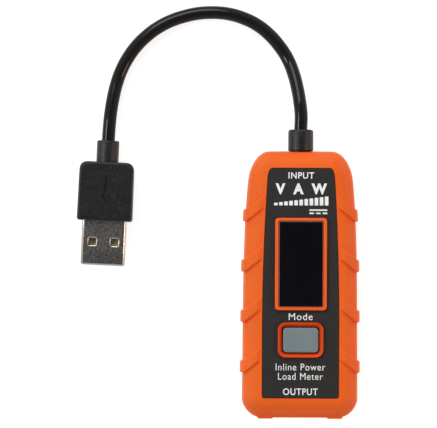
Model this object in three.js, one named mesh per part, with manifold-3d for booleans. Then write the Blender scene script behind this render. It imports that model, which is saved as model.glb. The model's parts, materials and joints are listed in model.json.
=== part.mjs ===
// A pocket USB power meter with its input lead, lying on its back on a table.
//
// Two moulded shells close around one circuit board. The board carries a display module, a
// push switch under the mode button and an output socket. A short lead leaves the other end
// through a strain relief and finishes in a plug.
//
// Millimetres. +Z points up, out of the display. +Y runs along the meter, from the output
// socket to the lead. The origin is under the middle of the meter, on the table.

import * as THREE from 'three';
import { mergeVertices } from 'three/addons/utils/BufferGeometryUtils.js';
import Module from 'manifold-3d';

const wasm = await Module();
wasm.setup();

// ---------------------------------------------------------------- driving dimensions

const FIT = 0.1; // air between pieces that sit in each other
const REST = 0.05; // air under a piece that stands on another
const MOVING_FIT = 0.2; // air around a piece that slides
const TURNED_FIT = 0.3; // air between pieces of the plug, which lies at an angle

// The housing's outline: nearly straight sides that draw in towards the lead.
const HOUSING = {
  halfWidth: 15.62,
  draft: 0.33, // how much narrower each side steadily grows by its upper end
  taper: 1.12, // how much it also curves in there
  taperPower: 5,
  sideLow: -30.8,
  sideHigh: 28.2,
  lowEnd: -35.7,
  lowCornerX: 11.3,
  lowCornerPull: 2.05,
  highEnd: 36.1,
  highCornerX: 8.7,
  highCornerPull: 3.2,
  highCrown: 0.1, // how far the upper end bows out between its corners
  seam: 7.8, // height of the line where the shells meet
  seamGap: 0.1,
  face: 15.4, // height of the lip around the label
};

// Heights of the housing's section, each with how far it lies in from the outline.
const OUTER_SECTION = [
  [0, 4.3],
  [0.4, 3.6],
  [3.3, 0.9],
  [4.1, 0.5],
  [HOUSING.seam, 0],
  [11.6, 0.5],
  [12.4, 0.95],
  [14.7, 2.8],
  [15.15, 3.6],
  [HOUSING.face, 4.9],
];
const CAVITY_SECTION = [
  [1.8, 4.6],
  [3.7, 2.7],
  [HOUSING.seam, 1.8],
  [11.9, 2.35],
  [13.6, 4.4],
];
const CAVITY_FLOOR = CAVITY_SECTION[0][0];
const CAVITY_CEILING = CAVITY_SECTION.at(-1)[0];

// The grip ribs' section in the same terms: it starts and ends just under the housing's skin.
const RIB_SECTION = [
  [2.6, 1.6],
  [3.6, -0.1],
  [HOUSING.seam, -0.65],
  [11.8, -0.2],
  [12.7, 0.3],
  [15.1, 2.5],
  [15.5, 3.6],
  [15.3, 4.9],
  [14.3, 4.9],
  [11.4, 1.4],
  [3.2, 1.5],
];
const RIB = {
  firstY: -22.1,
  pitch: 13.6,
  count: 4,
  width: 3.2,
  bevelFrom: 11.7, // height at which a rib turns in over the bevel
  slant: 0.62, // rise along the meter for each millimetre inward over the bevel
};

const PAD = { near: 7.4, far: 11.5, proud: 0.3, low: 3.4, high: 11.9 };
const END_FACE = { halfWidth: 7.8, low: 4.2, high: 11.8 }; // the upright face around the socket

const LABEL = {
  halfWidth: 10.3,
  low: -30.3,
  lowRadius: 0.6,
  straightTo: -12,
  high: 31.4,
  highHalfWidth: 7.95,
  chamferStart: 29.5,
  chamferHalfWidth: 8.95,
  thickness: 0.25,
  recess: 0.5,
};

const DISPLAY = { y: 5.68, frameWide: 13.9, frameLong: 24.75, frameTop: 16.0, frameRadius: 0.9 };
const WINDOW = { wide: 11.8, long: 22.9, radius: 0.5, low: 14.8, high: 15.75, ledge: 0.7 };
const PANEL = { wide: 10.9, long: 21.9, low: 12.05, high: 13.4 };
const CARRIER = { wide: 12.3, long: 23.3, ledge: 0.7, high: 13.35 };
const RIBBON = { wide: 8, thick: 0.2, foot: 2.2 };

const BUTTON = {
  y: -14.68,
  wide: 9.45,
  long: 6.65,
  radius: 0.6,
  top: 16.1,
  edge: 0.35,
  flangeLow: 12.5,
  flangeHigh: 13.3,
  flangeLip: 0.75,
  stemRadius: 2,
};
const BEZEL = { wide: 12.2, long: 9.35, radius: 2.0, top: 16.2, flare: 0.75, flareFrom: 14.4 };

const BOARD = {
  low: 4.0,
  thick: 1.2,
  halfWidth: 11.6,
  bodyLow: -25.6,
  bodyHigh: 24.8,
  socketHalf: 6.6,
  socketEnd: -32.8,
  wireHalf: 5.3,
  wireEnd: 29.2,
  restX: 9.4,
  restY: 15.5,
  restRadius: 1.2,
};
const BOARD_TOP = BOARD.low + BOARD.thick;
const PART_LOW = BOARD_TOP + REST;

const SWITCH = {
  size: 6.2,
  baseHigh: 8.4,
  wellLow: 6.2,
  wellRadius: 2.5,
  coverThick: 0.3,
  plungerRadius: 1.7,
  plungerLow: 6.9,
  collarRadius: 2.2,
  collarLow: 7.1,
  collarHigh: 8.1,
  plungerHigh: BUTTON.flangeLow - 2.3,
  domeRadius: 2.3,
  domeRise: 0.45,
  domeThick: 0.15,
};

const SOCKET = {
  wide: 13.1,
  tall: 5.7,
  sheet: 0.35,
  mouth: -35.6,
  back: -22.3,
  blockFront: -25.4,
  tongueWide: 11.1,
  tongueThick: 1.84,
  tongueFront: -34.4,
  tongueDrop: 0.72,
};
const SOCKET_Z = PART_LOW + SOCKET.tall / 2;

// Contact spacing and width shared by the socket and the plug.
const CONTACT = { xs: [-3.5, -1.0, 1.0, 3.5], wide: 1.0, thick: 0.2 };

const SCREW = {
  places: [[-9.3, -28.5], [9.3, -28.5], [-8.0, 27.6], [8.0, 27.6]],
  headRadius: 1.75,
  headHigh: 3.1,
  headThick: 1.3,
  shankRadius: 0.95,
  tip: 11.6,
  postRadius: 2.4,
  pilotDepth: 12.4,
};

const REAR_LABEL = { wide: 17, long: 36, y: 0, thick: 0.2, recess: 0.4, radius: 1.2 };

const LEAD = {
  exitZ: HOUSING.seam,
  radius: 1.8,
  sides: 8,
  steps: 14,
  reliefRadius: 3.5,
  reliefLength: 5.8,
  neckRadius: 2.9,
  flangeRadius: 3.6,
  flangeThick: 1.0,
  flangeDepth: 2.75, // from the outside of the end wall in to the flange
  inside: 4.4, // from the outside of the end wall in to the relief's inner end
  tipRound: 1.0,
};

const PLUG = {
  shoulder: new THREE.Vector3(-53.08, 17.0, 4.0), // where the metal shell leaves the moulding
  turn: THREE.MathUtils.degToRad(-2.4),
  bodyWide: 14.95,
  bodyWideAtLead: 14.65,
  bodyLong: 16.0,
  bodyThick: 8.0,
  cornerRadius: 2.0,
  edge: 0.8,
  bootRadius: 3.0,
  bootLong: 5.8,
  shellWide: 12.0,
  shellTall: 4.5,
  shellOut: 12.05,
  shellIn: 4.0,
  sheet: 0.35,
  holeWide: 2.1,
  holeLong: 1.95,
  holeX: 3.0,
  holeFromTip: 6.3,
  insulatorThick: 1.85,
};

// The lead's route on the table, from the strain relief round to the plug's boot.
const LEAD_ROUTE = [
  [0.0, 42.2, 7.8],
  [0.1, 45.5, 7.7],
  [-0.25, 49.2, 7.0],
  [-0.85, 52.9, 5.5],
  [-1.9, 57.2, 3.6],
  [-3.55, 61.4, 2.25],
  [-5.6, 64.6, 1.9],
  [-8.7, 68.1, 1.85],
  [-12.1, 70.7, 1.85],
  [-15.4, 72.3, 1.85],
  [-18.6, 73.3, 1.85],
  [-21.9, 73.8, 1.85],
  [-25.2, 73.85, 1.85],
  [-28.4, 73.55, 1.85],
  [-31.7, 72.8, 1.85],
  [-35.0, 71.7, 1.85],
  [-38.3, 70.05, 1.85],
  [-41.6, 67.7, 1.85],
  [-44.6, 64.75, 1.85],
  [-46.9, 61.6, 1.85],
  [-48.7, 58.2, 1.9],
  [-49.95, 54.7, 2.25],
  [-50.85, 50.9, 3.0],
  [-51.5, 46.9, 3.7],
  [-51.9, 43.0, 4.0],
  [-52.15, 39.15, 4.0],
];

// The lead's four cores: where each leaves the strain relief, about its axis, and its landing.
const WIRES = [
  { name: 'wire_red', startX: -0.9, startZ: 0.8, landingX: -3.6 },
  { name: 'wire_white', startX: -0.9, startZ: -0.8, landingX: -1.2 },
  { name: 'wire_green', startX: 0.9, startZ: -0.8, landingX: 1.2 },
  { name: 'wire_black', startX: 0.9, startZ: 0.8, landingX: 3.6 },
];
const WIRE = { radius: 0.6, sides: 6, steps: 6, touchdownY: 26.6, endY: 24.6 };

// ---------------------------------------------------------------- materials

const FINISHES = {
  housing_orange: { color: 0xe8713a, roughness: 0.55 },
  face_black: { color: 0x322e2e, roughness: 0.6 },
  display_dark: { color: 0x0a080b, roughness: 0.08 },
  display_module: { color: 0x55585c, roughness: 0.3 },
  carrier_white: { color: 0xe4e2dc, roughness: 0.5 },
  ribbon_amber: { color: 0xa86a28, roughness: 0.4 },
  button_grey: { color: 0x768283, roughness: 0.6 },
  switch_black: { color: 0x1c1c1e, roughness: 0.5 },
  board_green: { color: 0x1d5b34, roughness: 0.35 },
  chip_black: { color: 0x202124, roughness: 0.5 },
  shunt_metal: { color: 0x9a9690, roughness: 0.4, metalness: 0.9 },
  can_aluminium: { color: 0xb9bcc0, roughness: 0.35, metalness: 0.9 },
  bright_steel: { color: 0xb8b8ba, roughness: 0.25, metalness: 1 },
  screw_steel: { color: 0x8c8e92, roughness: 0.3, metalness: 1 },
  contact_gold: { color: 0xc79a45, roughness: 0.25, metalness: 1 },
  insulator_white: { color: 0xdedad2, roughness: 0.5 },
  lead_black: { color: 0x2a2625, roughness: 0.4 },
  plug_black: { color: 0x282628, roughness: 0.65 },
  rear_label: { color: 0xc9cbcd, roughness: 0.45 },
  wire_red: { color: 0xb3261e, roughness: 0.45 },
  wire_white: { color: 0xe6e4df, roughness: 0.45 },
  wire_green: { color: 0x2f7d3b, roughness: 0.45 },
  wire_black: { color: 0x1d1c1e, roughness: 0.45 },
};

const model = new THREE.Group();

function addPiece(name, slot, geometry, parent = model) {
  const mesh = new THREE.Mesh(geometry, new THREE.MeshStandardMaterial(FINISHES[slot]));
  mesh.name = name;
  parent.add(mesh);
}

// ---------------------------------------------------------------- joining and cutting

function solidOf(geometry) {
  const bare = geometry.clone();
  bare.deleteAttribute('normal');
  bare.deleteAttribute('uv');
  const merged = mergeVertices(bare);
  return new wasm.Manifold(new wasm.Mesh({
    numProp: 3,
    vertProperties: merged.getAttribute('position').array,
    triVerts: Uint32Array.from(merged.getIndex().array),
  }));
}

function geometryOf(solid) {
  const mesh = solid.getMesh();
  const geometry = new THREE.BufferGeometry();
  geometry.setAttribute('position', new THREE.BufferAttribute(mesh.vertProperties, 3));
  geometry.setIndex(new THREE.BufferAttribute(mesh.triVerts, 1));
  geometry.computeVertexNormals();
  return geometry;
}

function join(first, ...others) {
  return others.reduce((sum, geometry) => sum.add(solidOf(geometry)), first);
}

function cut(first, ...others) {
  return others.reduce((rest, geometry) => rest.subtract(solidOf(geometry)), first);
}

// ---------------------------------------------------------------- basic shapes

const AXIS_X = new THREE.Vector3(1, 0, 0);
const AXIS_Y = new THREE.Vector3(0, 1, 0);
const AXIS_Z = new THREE.Vector3(0, 0, 1);
const DRAWN_IN_YZ = new THREE.Matrix4().makeBasis(AXIS_Y, AXIS_Z, AXIS_X);
const DRAWN_IN_XZ = new THREE.Matrix4().makeBasis(AXIS_X, AXIS_Z, AXIS_Y.clone().negate());

function block([x0, x1], [y0, y1], [z0, z1]) {
  const geometry = new THREE.BoxGeometry(x1 - x0, y1 - y0, z1 - z0);
  return geometry.translate((x0 + x1) / 2, (y0 + y1) / 2, (z0 + z1) / 2);
}

function centredBlock(wide, long, y, z0, z1, x = 0) {
  return block([x - wide / 2, x + wide / 2], [y - long / 2, y + long / 2], [z0, z1]);
}

function rod(radius, x, y, z0, z1, sides = 24) {
  const geometry = new THREE.CylinderGeometry(radius, radius, z1 - z0, sides);
  return geometry.rotateX(Math.PI / 2).translate(x, y, (z0 + z1) / 2);
}

// A profile of [radius, height] pairs turned about the vertical line through (x, y).
function turned(profile, x, y, sides = 24) {
  const points = profile.map(([radius, height]) => new THREE.Vector2(radius, height));
  return new THREE.LatheGeometry(points, sides).rotateX(Math.PI / 2).translate(x, y, 0);
}

function plate(outline, z0, z1, curveSegments = 4) {
  const geometry = new THREE.ExtrudeGeometry(outline, {
    depth: z1 - z0,
    bevelEnabled: false,
    curveSegments,
  });
  return geometry.translate(0, 0, z0);
}

function plateAlongX(points, x0, x1) {
  const outline = new THREE.Shape(points.map(([y, z]) => new THREE.Vector2(y, z)));
  const geometry = new THREE.ExtrudeGeometry(outline, { depth: x1 - x0, bevelEnabled: false });
  return geometry.applyMatrix4(DRAWN_IN_YZ).translate(x0, 0, 0);
}

function roundedRectangle(wide, long, radius, y = 0) {
  const x1 = wide / 2;
  const y0 = y - long / 2;
  const y1 = y + long / 2;
  const outline = new THREE.Shape();
  outline.absarc(x1 - radius, y0 + radius, radius, -Math.PI / 2, 0);
  outline.absarc(x1 - radius, y1 - radius, radius, 0, Math.PI / 2);
  outline.absarc(-x1 + radius, y1 - radius, radius, Math.PI / 2, Math.PI);
  outline.absarc(-x1 + radius, y0 + radius, radius, Math.PI, Math.PI * 1.5);
  return outline;
}

// Closes the right-hand half of an outline, drawn from its low end to its high end.
function mirrored(rightHalf) {
  const right = rightHalf.getPoints(5);
  const left = right.filter((point) => point.x > 0).map((point) => new THREE.Vector2(-point.x, point.y));
  return new THREE.Shape([...right, ...left.reverse()]);
}

// Extrudes an outline through a section of [height, inset] pairs. Each level is drawn in
// towards (0, y) by its inset, or spread when the inset is negative.
function loft(outline, wide, long, section, y = 0, curveSegments = 4) {
  const steps = section.length - 1;
  const options = { depth: steps, steps, bevelEnabled: false, curveSegments };
  const geometry = new THREE.ExtrudeGeometry(outline, options);
  const position = geometry.getAttribute('position');
  for (let i = 0; i < position.count; i++) {
    const [height, inset] = section[Math.round(position.getZ(i))];
    const x = position.getX(i) * (1 - (2 * inset) / wide);
    const alongY = y + (position.getY(i) - y) * (1 - (2 * inset) / long);
    position.setXYZ(i, x, alongY, height);
  }
  return geometry;
}

// ---------------------------------------------------------------- housing

function halfWidthAt(y) {
  const along = Math.max(0, (y - HOUSING.sideLow) / (HOUSING.sideHigh - HOUSING.sideLow));
  return HOUSING.halfWidth - HOUSING.draft * along - HOUSING.taper * along ** HOUSING.taperPower;
}

function housingOutline() {
  const h = HOUSING;
  const sideSteps = 8;
  const highHalfWidth = halfWidthAt(h.sideHigh);
  const half = new THREE.Path();
  half.moveTo(0, h.lowEnd);
  half.lineTo(h.lowCornerX, h.lowEnd);
  half.bezierCurveTo(
    h.lowCornerX + h.lowCornerPull, h.lowEnd,
    h.halfWidth, h.sideLow - h.lowCornerPull,
    h.halfWidth, h.sideLow,
  );
  for (let i = 1; i <= sideSteps; i++) {
    const y = THREE.MathUtils.lerp(h.sideLow, h.sideHigh, i / sideSteps);
    half.lineTo(halfWidthAt(y), y);
  }
  const cornerY = h.highEnd - h.highCrown;
  half.bezierCurveTo(
    highHalfWidth - 0.3, h.sideHigh + h.highCornerPull,
    h.highCornerX + h.highCornerPull, cornerY - 0.25,
    h.highCornerX, cornerY,
  );
  half.lineTo(0, h.highEnd);
  return mirrored(half);
}

function housingSolid(section) {
  return solidOf(loft(
    housingOutline(),
    2 * HOUSING.halfWidth,
    HOUSING.highEnd - HOUSING.lowEnd,
    section,
  ));
}

// One grip rib: it stands up the side wall and slants in over the bevel, fading into the lip.
function rib(y, side) {
  const wallX = halfWidthAt(y);
  const profile = RIB_SECTION.map(([z, inset]) => new THREE.Vector2(wallX - inset, z));
  const options = { depth: RIB.width, bevelEnabled: false };
  const geometry = new THREE.ExtrudeGeometry(new THREE.Shape(profile), options);
  geometry.applyMatrix4(DRAWN_IN_XZ).translate(0, y + RIB.width / 2, 0);
  const position = geometry.getAttribute('position');
  for (let i = 0; i < position.count; i++) {
    if (position.getZ(i) < RIB.bevelFrom) continue;
    const inward = Math.max(0, wallX - position.getX(i));
    position.setY(i, position.getY(i) + RIB.slant * inward);
  }
  return side > 0 ? geometry : mirroredInX(geometry);
}

function mirroredInX(geometry) {
  const flipped = geometry.clone().scale(-1, 1, 1);
  const position = flipped.getAttribute('position');
  for (let i = 0; i < position.count; i += 3) {
    const first = new THREE.Vector3().fromBufferAttribute(position, i);
    const last = new THREE.Vector3().fromBufferAttribute(position, i + 2);
    position.setXYZ(i, last.x, last.y, last.z);
    position.setXYZ(i + 2, first.x, first.y, first.z);
  }
  return flipped;
}

function ribs() {
  const all = [];
  for (let i = 0; i < RIB.count; i++) {
    const y = RIB.firstY + i * RIB.pitch;
    all.push(rib(y, 1), rib(y, -1));
  }
  return all;
}

function endPads() {
  const depth = [HOUSING.lowEnd - PAD.proud, HOUSING.lowEnd + 1];
  const height = [PAD.low, PAD.high];
  return [block([-PAD.far, -PAD.near], depth, height), block([PAD.near, PAD.far], depth, height)];
}

function endFace() {
  const width = [-END_FACE.halfWidth, END_FACE.halfWidth];
  const depth = [HOUSING.lowEnd, HOUSING.lowEnd + 1];
  return block(width, depth, [END_FACE.low, END_FACE.high]);
}

function socketOpening() {
  const gap = 2 * FIT;
  return centredBlock(
    SOCKET.wide + 2 * gap,
    8,
    HOUSING.lowEnd + 2,
    SOCKET_Z - SOCKET.tall / 2 - gap,
    SOCKET_Z + SOCKET.tall / 2 + gap,
  );
}

function leadOpening() {
  const hole = new THREE.CylinderGeometry(LEAD.neckRadius + FIT, LEAD.neckRadius + FIT, 8, 24);
  return hole.translate(0, HOUSING.highEnd - 1, LEAD.exitZ);
}

function housingBody() {
  const walls = join(housingSolid(OUTER_SECTION), ...ribs(), ...endPads(), endFace());
  return cut(walls.subtract(housingSolid(CAVITY_SECTION)), socketOpening(), leadOpening());
}

const FAR = 60; // half-size of the blocks that part the housing along its seam
const aboveSeam = () => block([-FAR, FAR], [-FAR, FAR], [HOUSING.seam + HOUSING.seamGap / 2, FAR]);
const belowSeam = () => block([-FAR, FAR], [-FAR, FAR], [-FAR, HOUSING.seam - HOUSING.seamGap / 2]);

function screwBosses(z0, z1) {
  return SCREW.places.map(([x, y]) => rod(SCREW.postRadius, x, y, z0, z1));
}

function screwHoles(radius, z0, z1) {
  return SCREW.places.map(([x, y]) => rod(radius, x, y, z0, z1, 16));
}

function buttonHole() {
  const wide = BUTTON.wide + 2 * MOVING_FIT;
  const long = BUTTON.long + 2 * MOVING_FIT;
  const outline = roundedRectangle(wide, long, BUTTON.radius + MOVING_FIT, BUTTON.y);
  const section = [
    [CAVITY_CEILING - 1, 0],
    [BEZEL.flareFrom, 0],
    [BEZEL.top + 0.1, -BEZEL.flare],
  ];
  return loft(outline, wide, long, section, BUTTON.y, 3);
}

function displayFrameOutline(grow) {
  const wide = DISPLAY.frameWide + 2 * grow;
  return roundedRectangle(wide, DISPLAY.frameLong + 2 * grow, DISPLAY.frameRadius + grow, DISPLAY.y);
}

function bezelOutline(grow) {
  return roundedRectangle(BEZEL.wide + 2 * grow, BEZEL.long + 2 * grow, BEZEL.radius + grow, BUTTON.y);
}

function frontShell() {
  const faceLow = HOUSING.face - LABEL.recess;
  const displayFrame = displayFrameOutline(0);
  const bezel = bezelOutline(0);
  const bezelSection = [[faceLow - 0.5, 0], [BEZEL.top - 0.3, 0], [BEZEL.top, 0.3]];
  const pocket = roundedRectangle(WINDOW.wide + 2 * FIT, WINDOW.long + 2 * FIT, WINDOW.radius, DISPLAY.y);
  const windowLow = WINDOW.low - REST;
  const upper = housingBody().intersect(solidOf(aboveSeam()));
  const recessed = cut(upper, plate(labelOutline(FIT), faceLow, HOUSING.face + 1));
  const raised = join(
    recessed,
    plate(displayFrame, faceLow - 0.5, DISPLAY.frameTop),
    loft(bezel, BEZEL.wide, BEZEL.long, bezelSection, BUTTON.y),
    ...screwBosses(HOUSING.seam + HOUSING.seamGap / 2, CAVITY_CEILING + 0.2),
  );
  return geometryOf(cut(
    raised,
    plate(pocket, windowLow, DISPLAY.frameTop + 1),
    centredBlock(
      WINDOW.wide - 2 * WINDOW.ledge,
      WINDOW.long - 2 * WINDOW.ledge,
      DISPLAY.y,
      CAVITY_CEILING - 1,
      windowLow + 0.5,
    ),
    buttonHole(),
    ...screwHoles(SCREW.shankRadius + FIT, HOUSING.seam - 1, SCREW.pilotDepth),
  ));
}

function boardRests() {
  const places = [[-1, -1], [1, -1], [-1, 1], [1, 1]];
  return places.map(([sx, sy]) => rod(
    BOARD.restRadius,
    sx * BOARD.restX,
    sy * BOARD.restY,
    CAVITY_FLOOR - 0.5,
    BOARD.low - REST,
    16,
  ));
}

function rearShell() {
  const lower = housingBody().intersect(solidOf(belowSeam()));
  const filled = join(
    lower,
    ...screwBosses(CAVITY_FLOOR - 0.5, HOUSING.seam - HOUSING.seamGap / 2),
    ...boardRests(),
  );
  const recess = roundedRectangle(REAR_LABEL.wide, REAR_LABEL.long, REAR_LABEL.radius, REAR_LABEL.y);
  return geometryOf(cut(
    filled,
    ...screwHoles(SCREW.shankRadius + 2 * FIT, CAVITY_FLOOR, HOUSING.seam + 1),
    ...screwHoles(SCREW.headRadius + 2 * FIT, -1, SCREW.headHigh + REST),
    plate(recess, -1, REAR_LABEL.recess),
  ));
}

function rearLabel() {
  const gap = 2 * FIT;
  const outline = roundedRectangle(
    REAR_LABEL.wide - gap,
    REAR_LABEL.long - gap,
    REAR_LABEL.radius - FIT,
    REAR_LABEL.y,
  );
  const high = REAR_LABEL.recess - REST;
  return plate(outline, high - REAR_LABEL.thick, high);
}

// ---------------------------------------------------------------- face label, display

function labelOutline(grow) {
  const sideSteps = 5;
  const l = LABEL;
  const half = new THREE.Path();
  half.moveTo(0, l.low - grow);
  half.lineTo(l.halfWidth - l.lowRadius, l.low - grow);
  half.quadraticCurveTo(l.halfWidth + grow, l.low - grow, l.halfWidth + grow, l.low + l.lowRadius);
  for (let i = 0; i <= sideSteps; i++) {
    const along = i / sideSteps;
    const y = THREE.MathUtils.lerp(l.straightTo, l.chamferStart, along);
    half.lineTo(l.halfWidth + grow - (l.halfWidth - l.chamferHalfWidth) * along ** 2, y);
  }
  half.lineTo(l.highHalfWidth + grow * 0.5, l.high + grow);
  half.lineTo(0, l.high + grow);
  return mirrored(half);
}

function faceLabel() {
  const low = HOUSING.face - LABEL.recess + REST;
  const outline = labelOutline(0);
  const sheet = solidOf(plate(outline, low, low + LABEL.thickness));
  return geometryOf(cut(
    sheet,
    plate(displayFrameOutline(FIT), low - 1, low + 1),
    plate(bezelOutline(FIT), low - 1, low + 1),
  ));
}

function displayWindow() {
  const outline = roundedRectangle(WINDOW.wide, WINDOW.long, WINDOW.radius, DISPLAY.y);
  const section = [[WINDOW.low, 0], [WINDOW.high - 0.15, 0], [WINDOW.high, 0.15]];
  return loft(outline, WINDOW.wide, WINDOW.long, section, DISPLAY.y, 3);
}

function displayPanel() {
  return centredBlock(PANEL.wide, PANEL.long, DISPLAY.y, PANEL.low, PANEL.high);
}

// A white frame that holds the panel up under the window, with a notch for the ribbon.
function displayCarrier() {
  const outside = solidOf(centredBlock(CARRIER.wide, CARRIER.long, DISPLAY.y, PART_LOW, CARRIER.high));
  const shelf = PANEL.low - REST;
  return geometryOf(cut(
    outside,
    centredBlock(PANEL.wide + 2 * FIT, PANEL.long + 2 * FIT, DISPLAY.y, shelf, CARRIER.high + 1),
    centredBlock(
      PANEL.wide - 2 * CARRIER.ledge,
      PANEL.long - 2 * CARRIER.ledge,
      DISPLAY.y,
      PART_LOW - 1,
      shelf + 0.5,
    ),
    centredBlock(RIBBON.wide + 4 * FIT, 3, DISPLAY.y - CARRIER.long / 2, shelf, CARRIER.high + 1),
  ));
}

// The flat ribbon from the panel's end, over the carrier and down to the board.
function displayRibbon() {
  const t = RIBBON.thick;
  const start = DISPLAY.y - PANEL.long / 2 - FIT;
  const drop = DISPLAY.y - CARRIER.long / 2 - 1.2;
  const top = (PANEL.low + PANEL.high) / 2;
  const bend = 0.8;
  const profile = [
    [start, top],
    [start, top + t],
    [drop - t + bend, top + t],
    [drop - t + 0.2, top + t - 0.2],
    [drop - t, top + t - bend],
    [drop - t, PART_LOW + bend],
    [drop - t - 0.2, PART_LOW + t + 0.2],
    [drop - t - bend, PART_LOW + t],
    [drop - RIBBON.foot, PART_LOW + t],
    [drop - RIBBON.foot, PART_LOW],
    [drop - t - 0.5, PART_LOW],
    [drop - 0.2, PART_LOW + 0.3],
    [drop, PART_LOW + bend],
    [drop, top + t - bend],
    [drop + 0.15, top - 0.15],
    [drop + bend, top],
  ];
  return plateAlongX(profile.reverse(), -RIBBON.wide / 2, RIBBON.wide / 2);
}

// ---------------------------------------------------------------- button and switch

function modeButton() {
  const outline = roundedRectangle(BUTTON.wide, BUTTON.long, BUTTON.radius, BUTTON.y);
  const section = [
    [BUTTON.flangeLow + 0.1, 0],
    [BUTTON.top - BUTTON.edge, 0],
    [BUTTON.top - 0.1, BUTTON.edge * 0.4],
    [BUTTON.top, BUTTON.edge],
  ];
  const cap = solidOf(loft(outline, BUTTON.wide, BUTTON.long, section, BUTTON.y, 3));
  const flange = centredBlock(
    BUTTON.wide + 2 * BUTTON.flangeLip,
    BUTTON.long + 2 * BUTTON.flangeLip,
    BUTTON.y,
    BUTTON.flangeLow,
    BUTTON.flangeHigh,
  );
  const stem = rod(BUTTON.stemRadius, 0, BUTTON.y, SWITCH.plungerHigh + REST, BUTTON.flangeHigh, 16);
  return geometryOf(join(cap, flange, stem));
}

function switchBase() {
  const body = solidOf(centredBlock(SWITCH.size, SWITCH.size, BUTTON.y, PART_LOW, SWITCH.baseHigh));
  return geometryOf(cut(body, rod(SWITCH.wellRadius, 0, BUTTON.y, SWITCH.wellLow, SWITCH.baseHigh + 1)));
}

function switchCover() {
  const low = SWITCH.baseHigh + REST;
  const sheet = solidOf(centredBlock(SWITCH.size, SWITCH.size, BUTTON.y, low, low + SWITCH.coverThick));
  return geometryOf(cut(sheet, rod(SWITCH.plungerRadius + FIT, 0, BUTTON.y, low - 1, low + 1)));
}

function switchPlunger() {
  const foot = SWITCH.plungerRadius * 0.5;
  return turned([
    [0, SWITCH.plungerLow],
    [foot, SWITCH.plungerLow],
    [foot, SWITCH.collarLow],
    [SWITCH.collarRadius, SWITCH.collarLow],
    [SWITCH.collarRadius, SWITCH.collarHigh],
    [SWITCH.plungerRadius, SWITCH.collarHigh],
    [SWITCH.plungerRadius, SWITCH.plungerHigh],
    [0, SWITCH.plungerHigh],
  ], 0, BUTTON.y);
}

// The snap dome: a thin spherical cap, lying in the switch's well under the plunger.
function switchDome() {
  const low = SWITCH.wellLow + REST;
  const arc = (rise, base) => [1, 0.75, 0.5, 0.25, 0].map((out) => [
    SWITCH.domeRadius * out,
    base + rise * (1 - out ** 2),
  ]);
  const under = arc(SWITCH.domeRise, low).reverse();
  const over = arc(SWITCH.domeRise, low + SWITCH.domeThick);
  return turned([...under, ...over], 0, BUTTON.y);
}

// ---------------------------------------------------------------- board and its components

function mainBoard() {
  const b = BOARD;
  const half = new THREE.Path();
  half.moveTo(0, b.socketEnd);
  half.lineTo(b.socketHalf, b.socketEnd);
  half.lineTo(b.socketHalf, b.bodyLow);
  half.lineTo(b.halfWidth, b.bodyLow);
  half.lineTo(b.halfWidth, b.bodyHigh);
  half.lineTo(b.wireHalf, b.bodyHigh);
  half.lineTo(b.wireHalf, b.wireEnd);
  half.lineTo(0, b.wireEnd);
  return plate(mirrored(half), b.low, BOARD_TOP);
}

const CAN = { radius: 2.5, tall: 5.4, edge: 0.3 };

function capacitorCan(x, y) {
  const high = PART_LOW + CAN.tall;
  return turned([
    [0, PART_LOW],
    [CAN.radius, PART_LOW],
    [CAN.radius, high - CAN.edge],
    [CAN.radius - CAN.edge, high],
    [0, high],
  ], x, y);
}

const BOARD_PARTS = [
  { name: 'controller_chip', slot: 'chip_black', wide: 7, long: 7, tall: 1.2, x: 0, y: 9 },
  { name: 'timing_crystal', slot: 'can_aluminium', wide: 3.2, long: 5, tall: 1.1, x: 0, y: 0.5 },
  { name: 'current_shunt', slot: 'shunt_metal', wide: 3.2, long: 6.4, tall: 0.9, x: 8.8, y: 2 },
  { name: 'voltage_regulator', slot: 'chip_black', wide: 3.5, long: 6.5, tall: 1.7, x: -8.8, y: 8 },
];

// ---------------------------------------------------------------- output socket

function tube(wide, tall, sheet, y0, y1, z) {
  const outer = roundedRectangle(wide, tall, sheet * 1.5);
  const inner = roundedRectangle(wide - 2 * sheet, tall - 2 * sheet, sheet * 0.5);
  outer.holes.push(inner);
  const options = { depth: y1 - y0, bevelEnabled: false, curveSegments: 2 };
  return new THREE.ExtrudeGeometry(outer, options).applyMatrix4(DRAWN_IN_XZ).translate(0, y1, z);
}

function socketShell() {
  return tube(SOCKET.wide, SOCKET.tall, SOCKET.sheet, SOCKET.mouth, SOCKET.back, SOCKET_Z);
}

const TONGUE_HIGH = SOCKET_Z + SOCKET.tall / 2 - SOCKET.sheet - SOCKET.tongueDrop;
const TONGUE_LOW = TONGUE_HIGH - SOCKET.tongueThick;

function socketInsulator() {
  const room = SOCKET.tall / 2 - SOCKET.sheet - FIT;
  const profile = [
    [SOCKET.tongueFront, TONGUE_LOW],
    [SOCKET.blockFront, TONGUE_LOW],
    [SOCKET.blockFront, SOCKET_Z - room],
    [SOCKET.back, SOCKET_Z - room],
    [SOCKET.back, SOCKET_Z + room],
    [SOCKET.blockFront, SOCKET_Z + room],
    [SOCKET.blockFront, TONGUE_HIGH],
    [SOCKET.tongueFront, TONGUE_HIGH],
  ];
  const body = solidOf(plateAlongX(profile, -SOCKET.tongueWide / 2, SOCKET.tongueWide / 2));
  const channelHigh = TONGUE_LOW + 0.02;
  const channelLow = TONGUE_LOW - CONTACT.thick - 3 * FIT;
  const channels = CONTACT.xs.map((x) => block(
    [x - CONTACT.wide / 2 - FIT, x + CONTACT.wide / 2 + FIT],
    [SOCKET.blockFront - 1, SOCKET.back + 1],
    [channelLow, channelHigh],
  ));
  return geometryOf(cut(body, ...channels));
}

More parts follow.
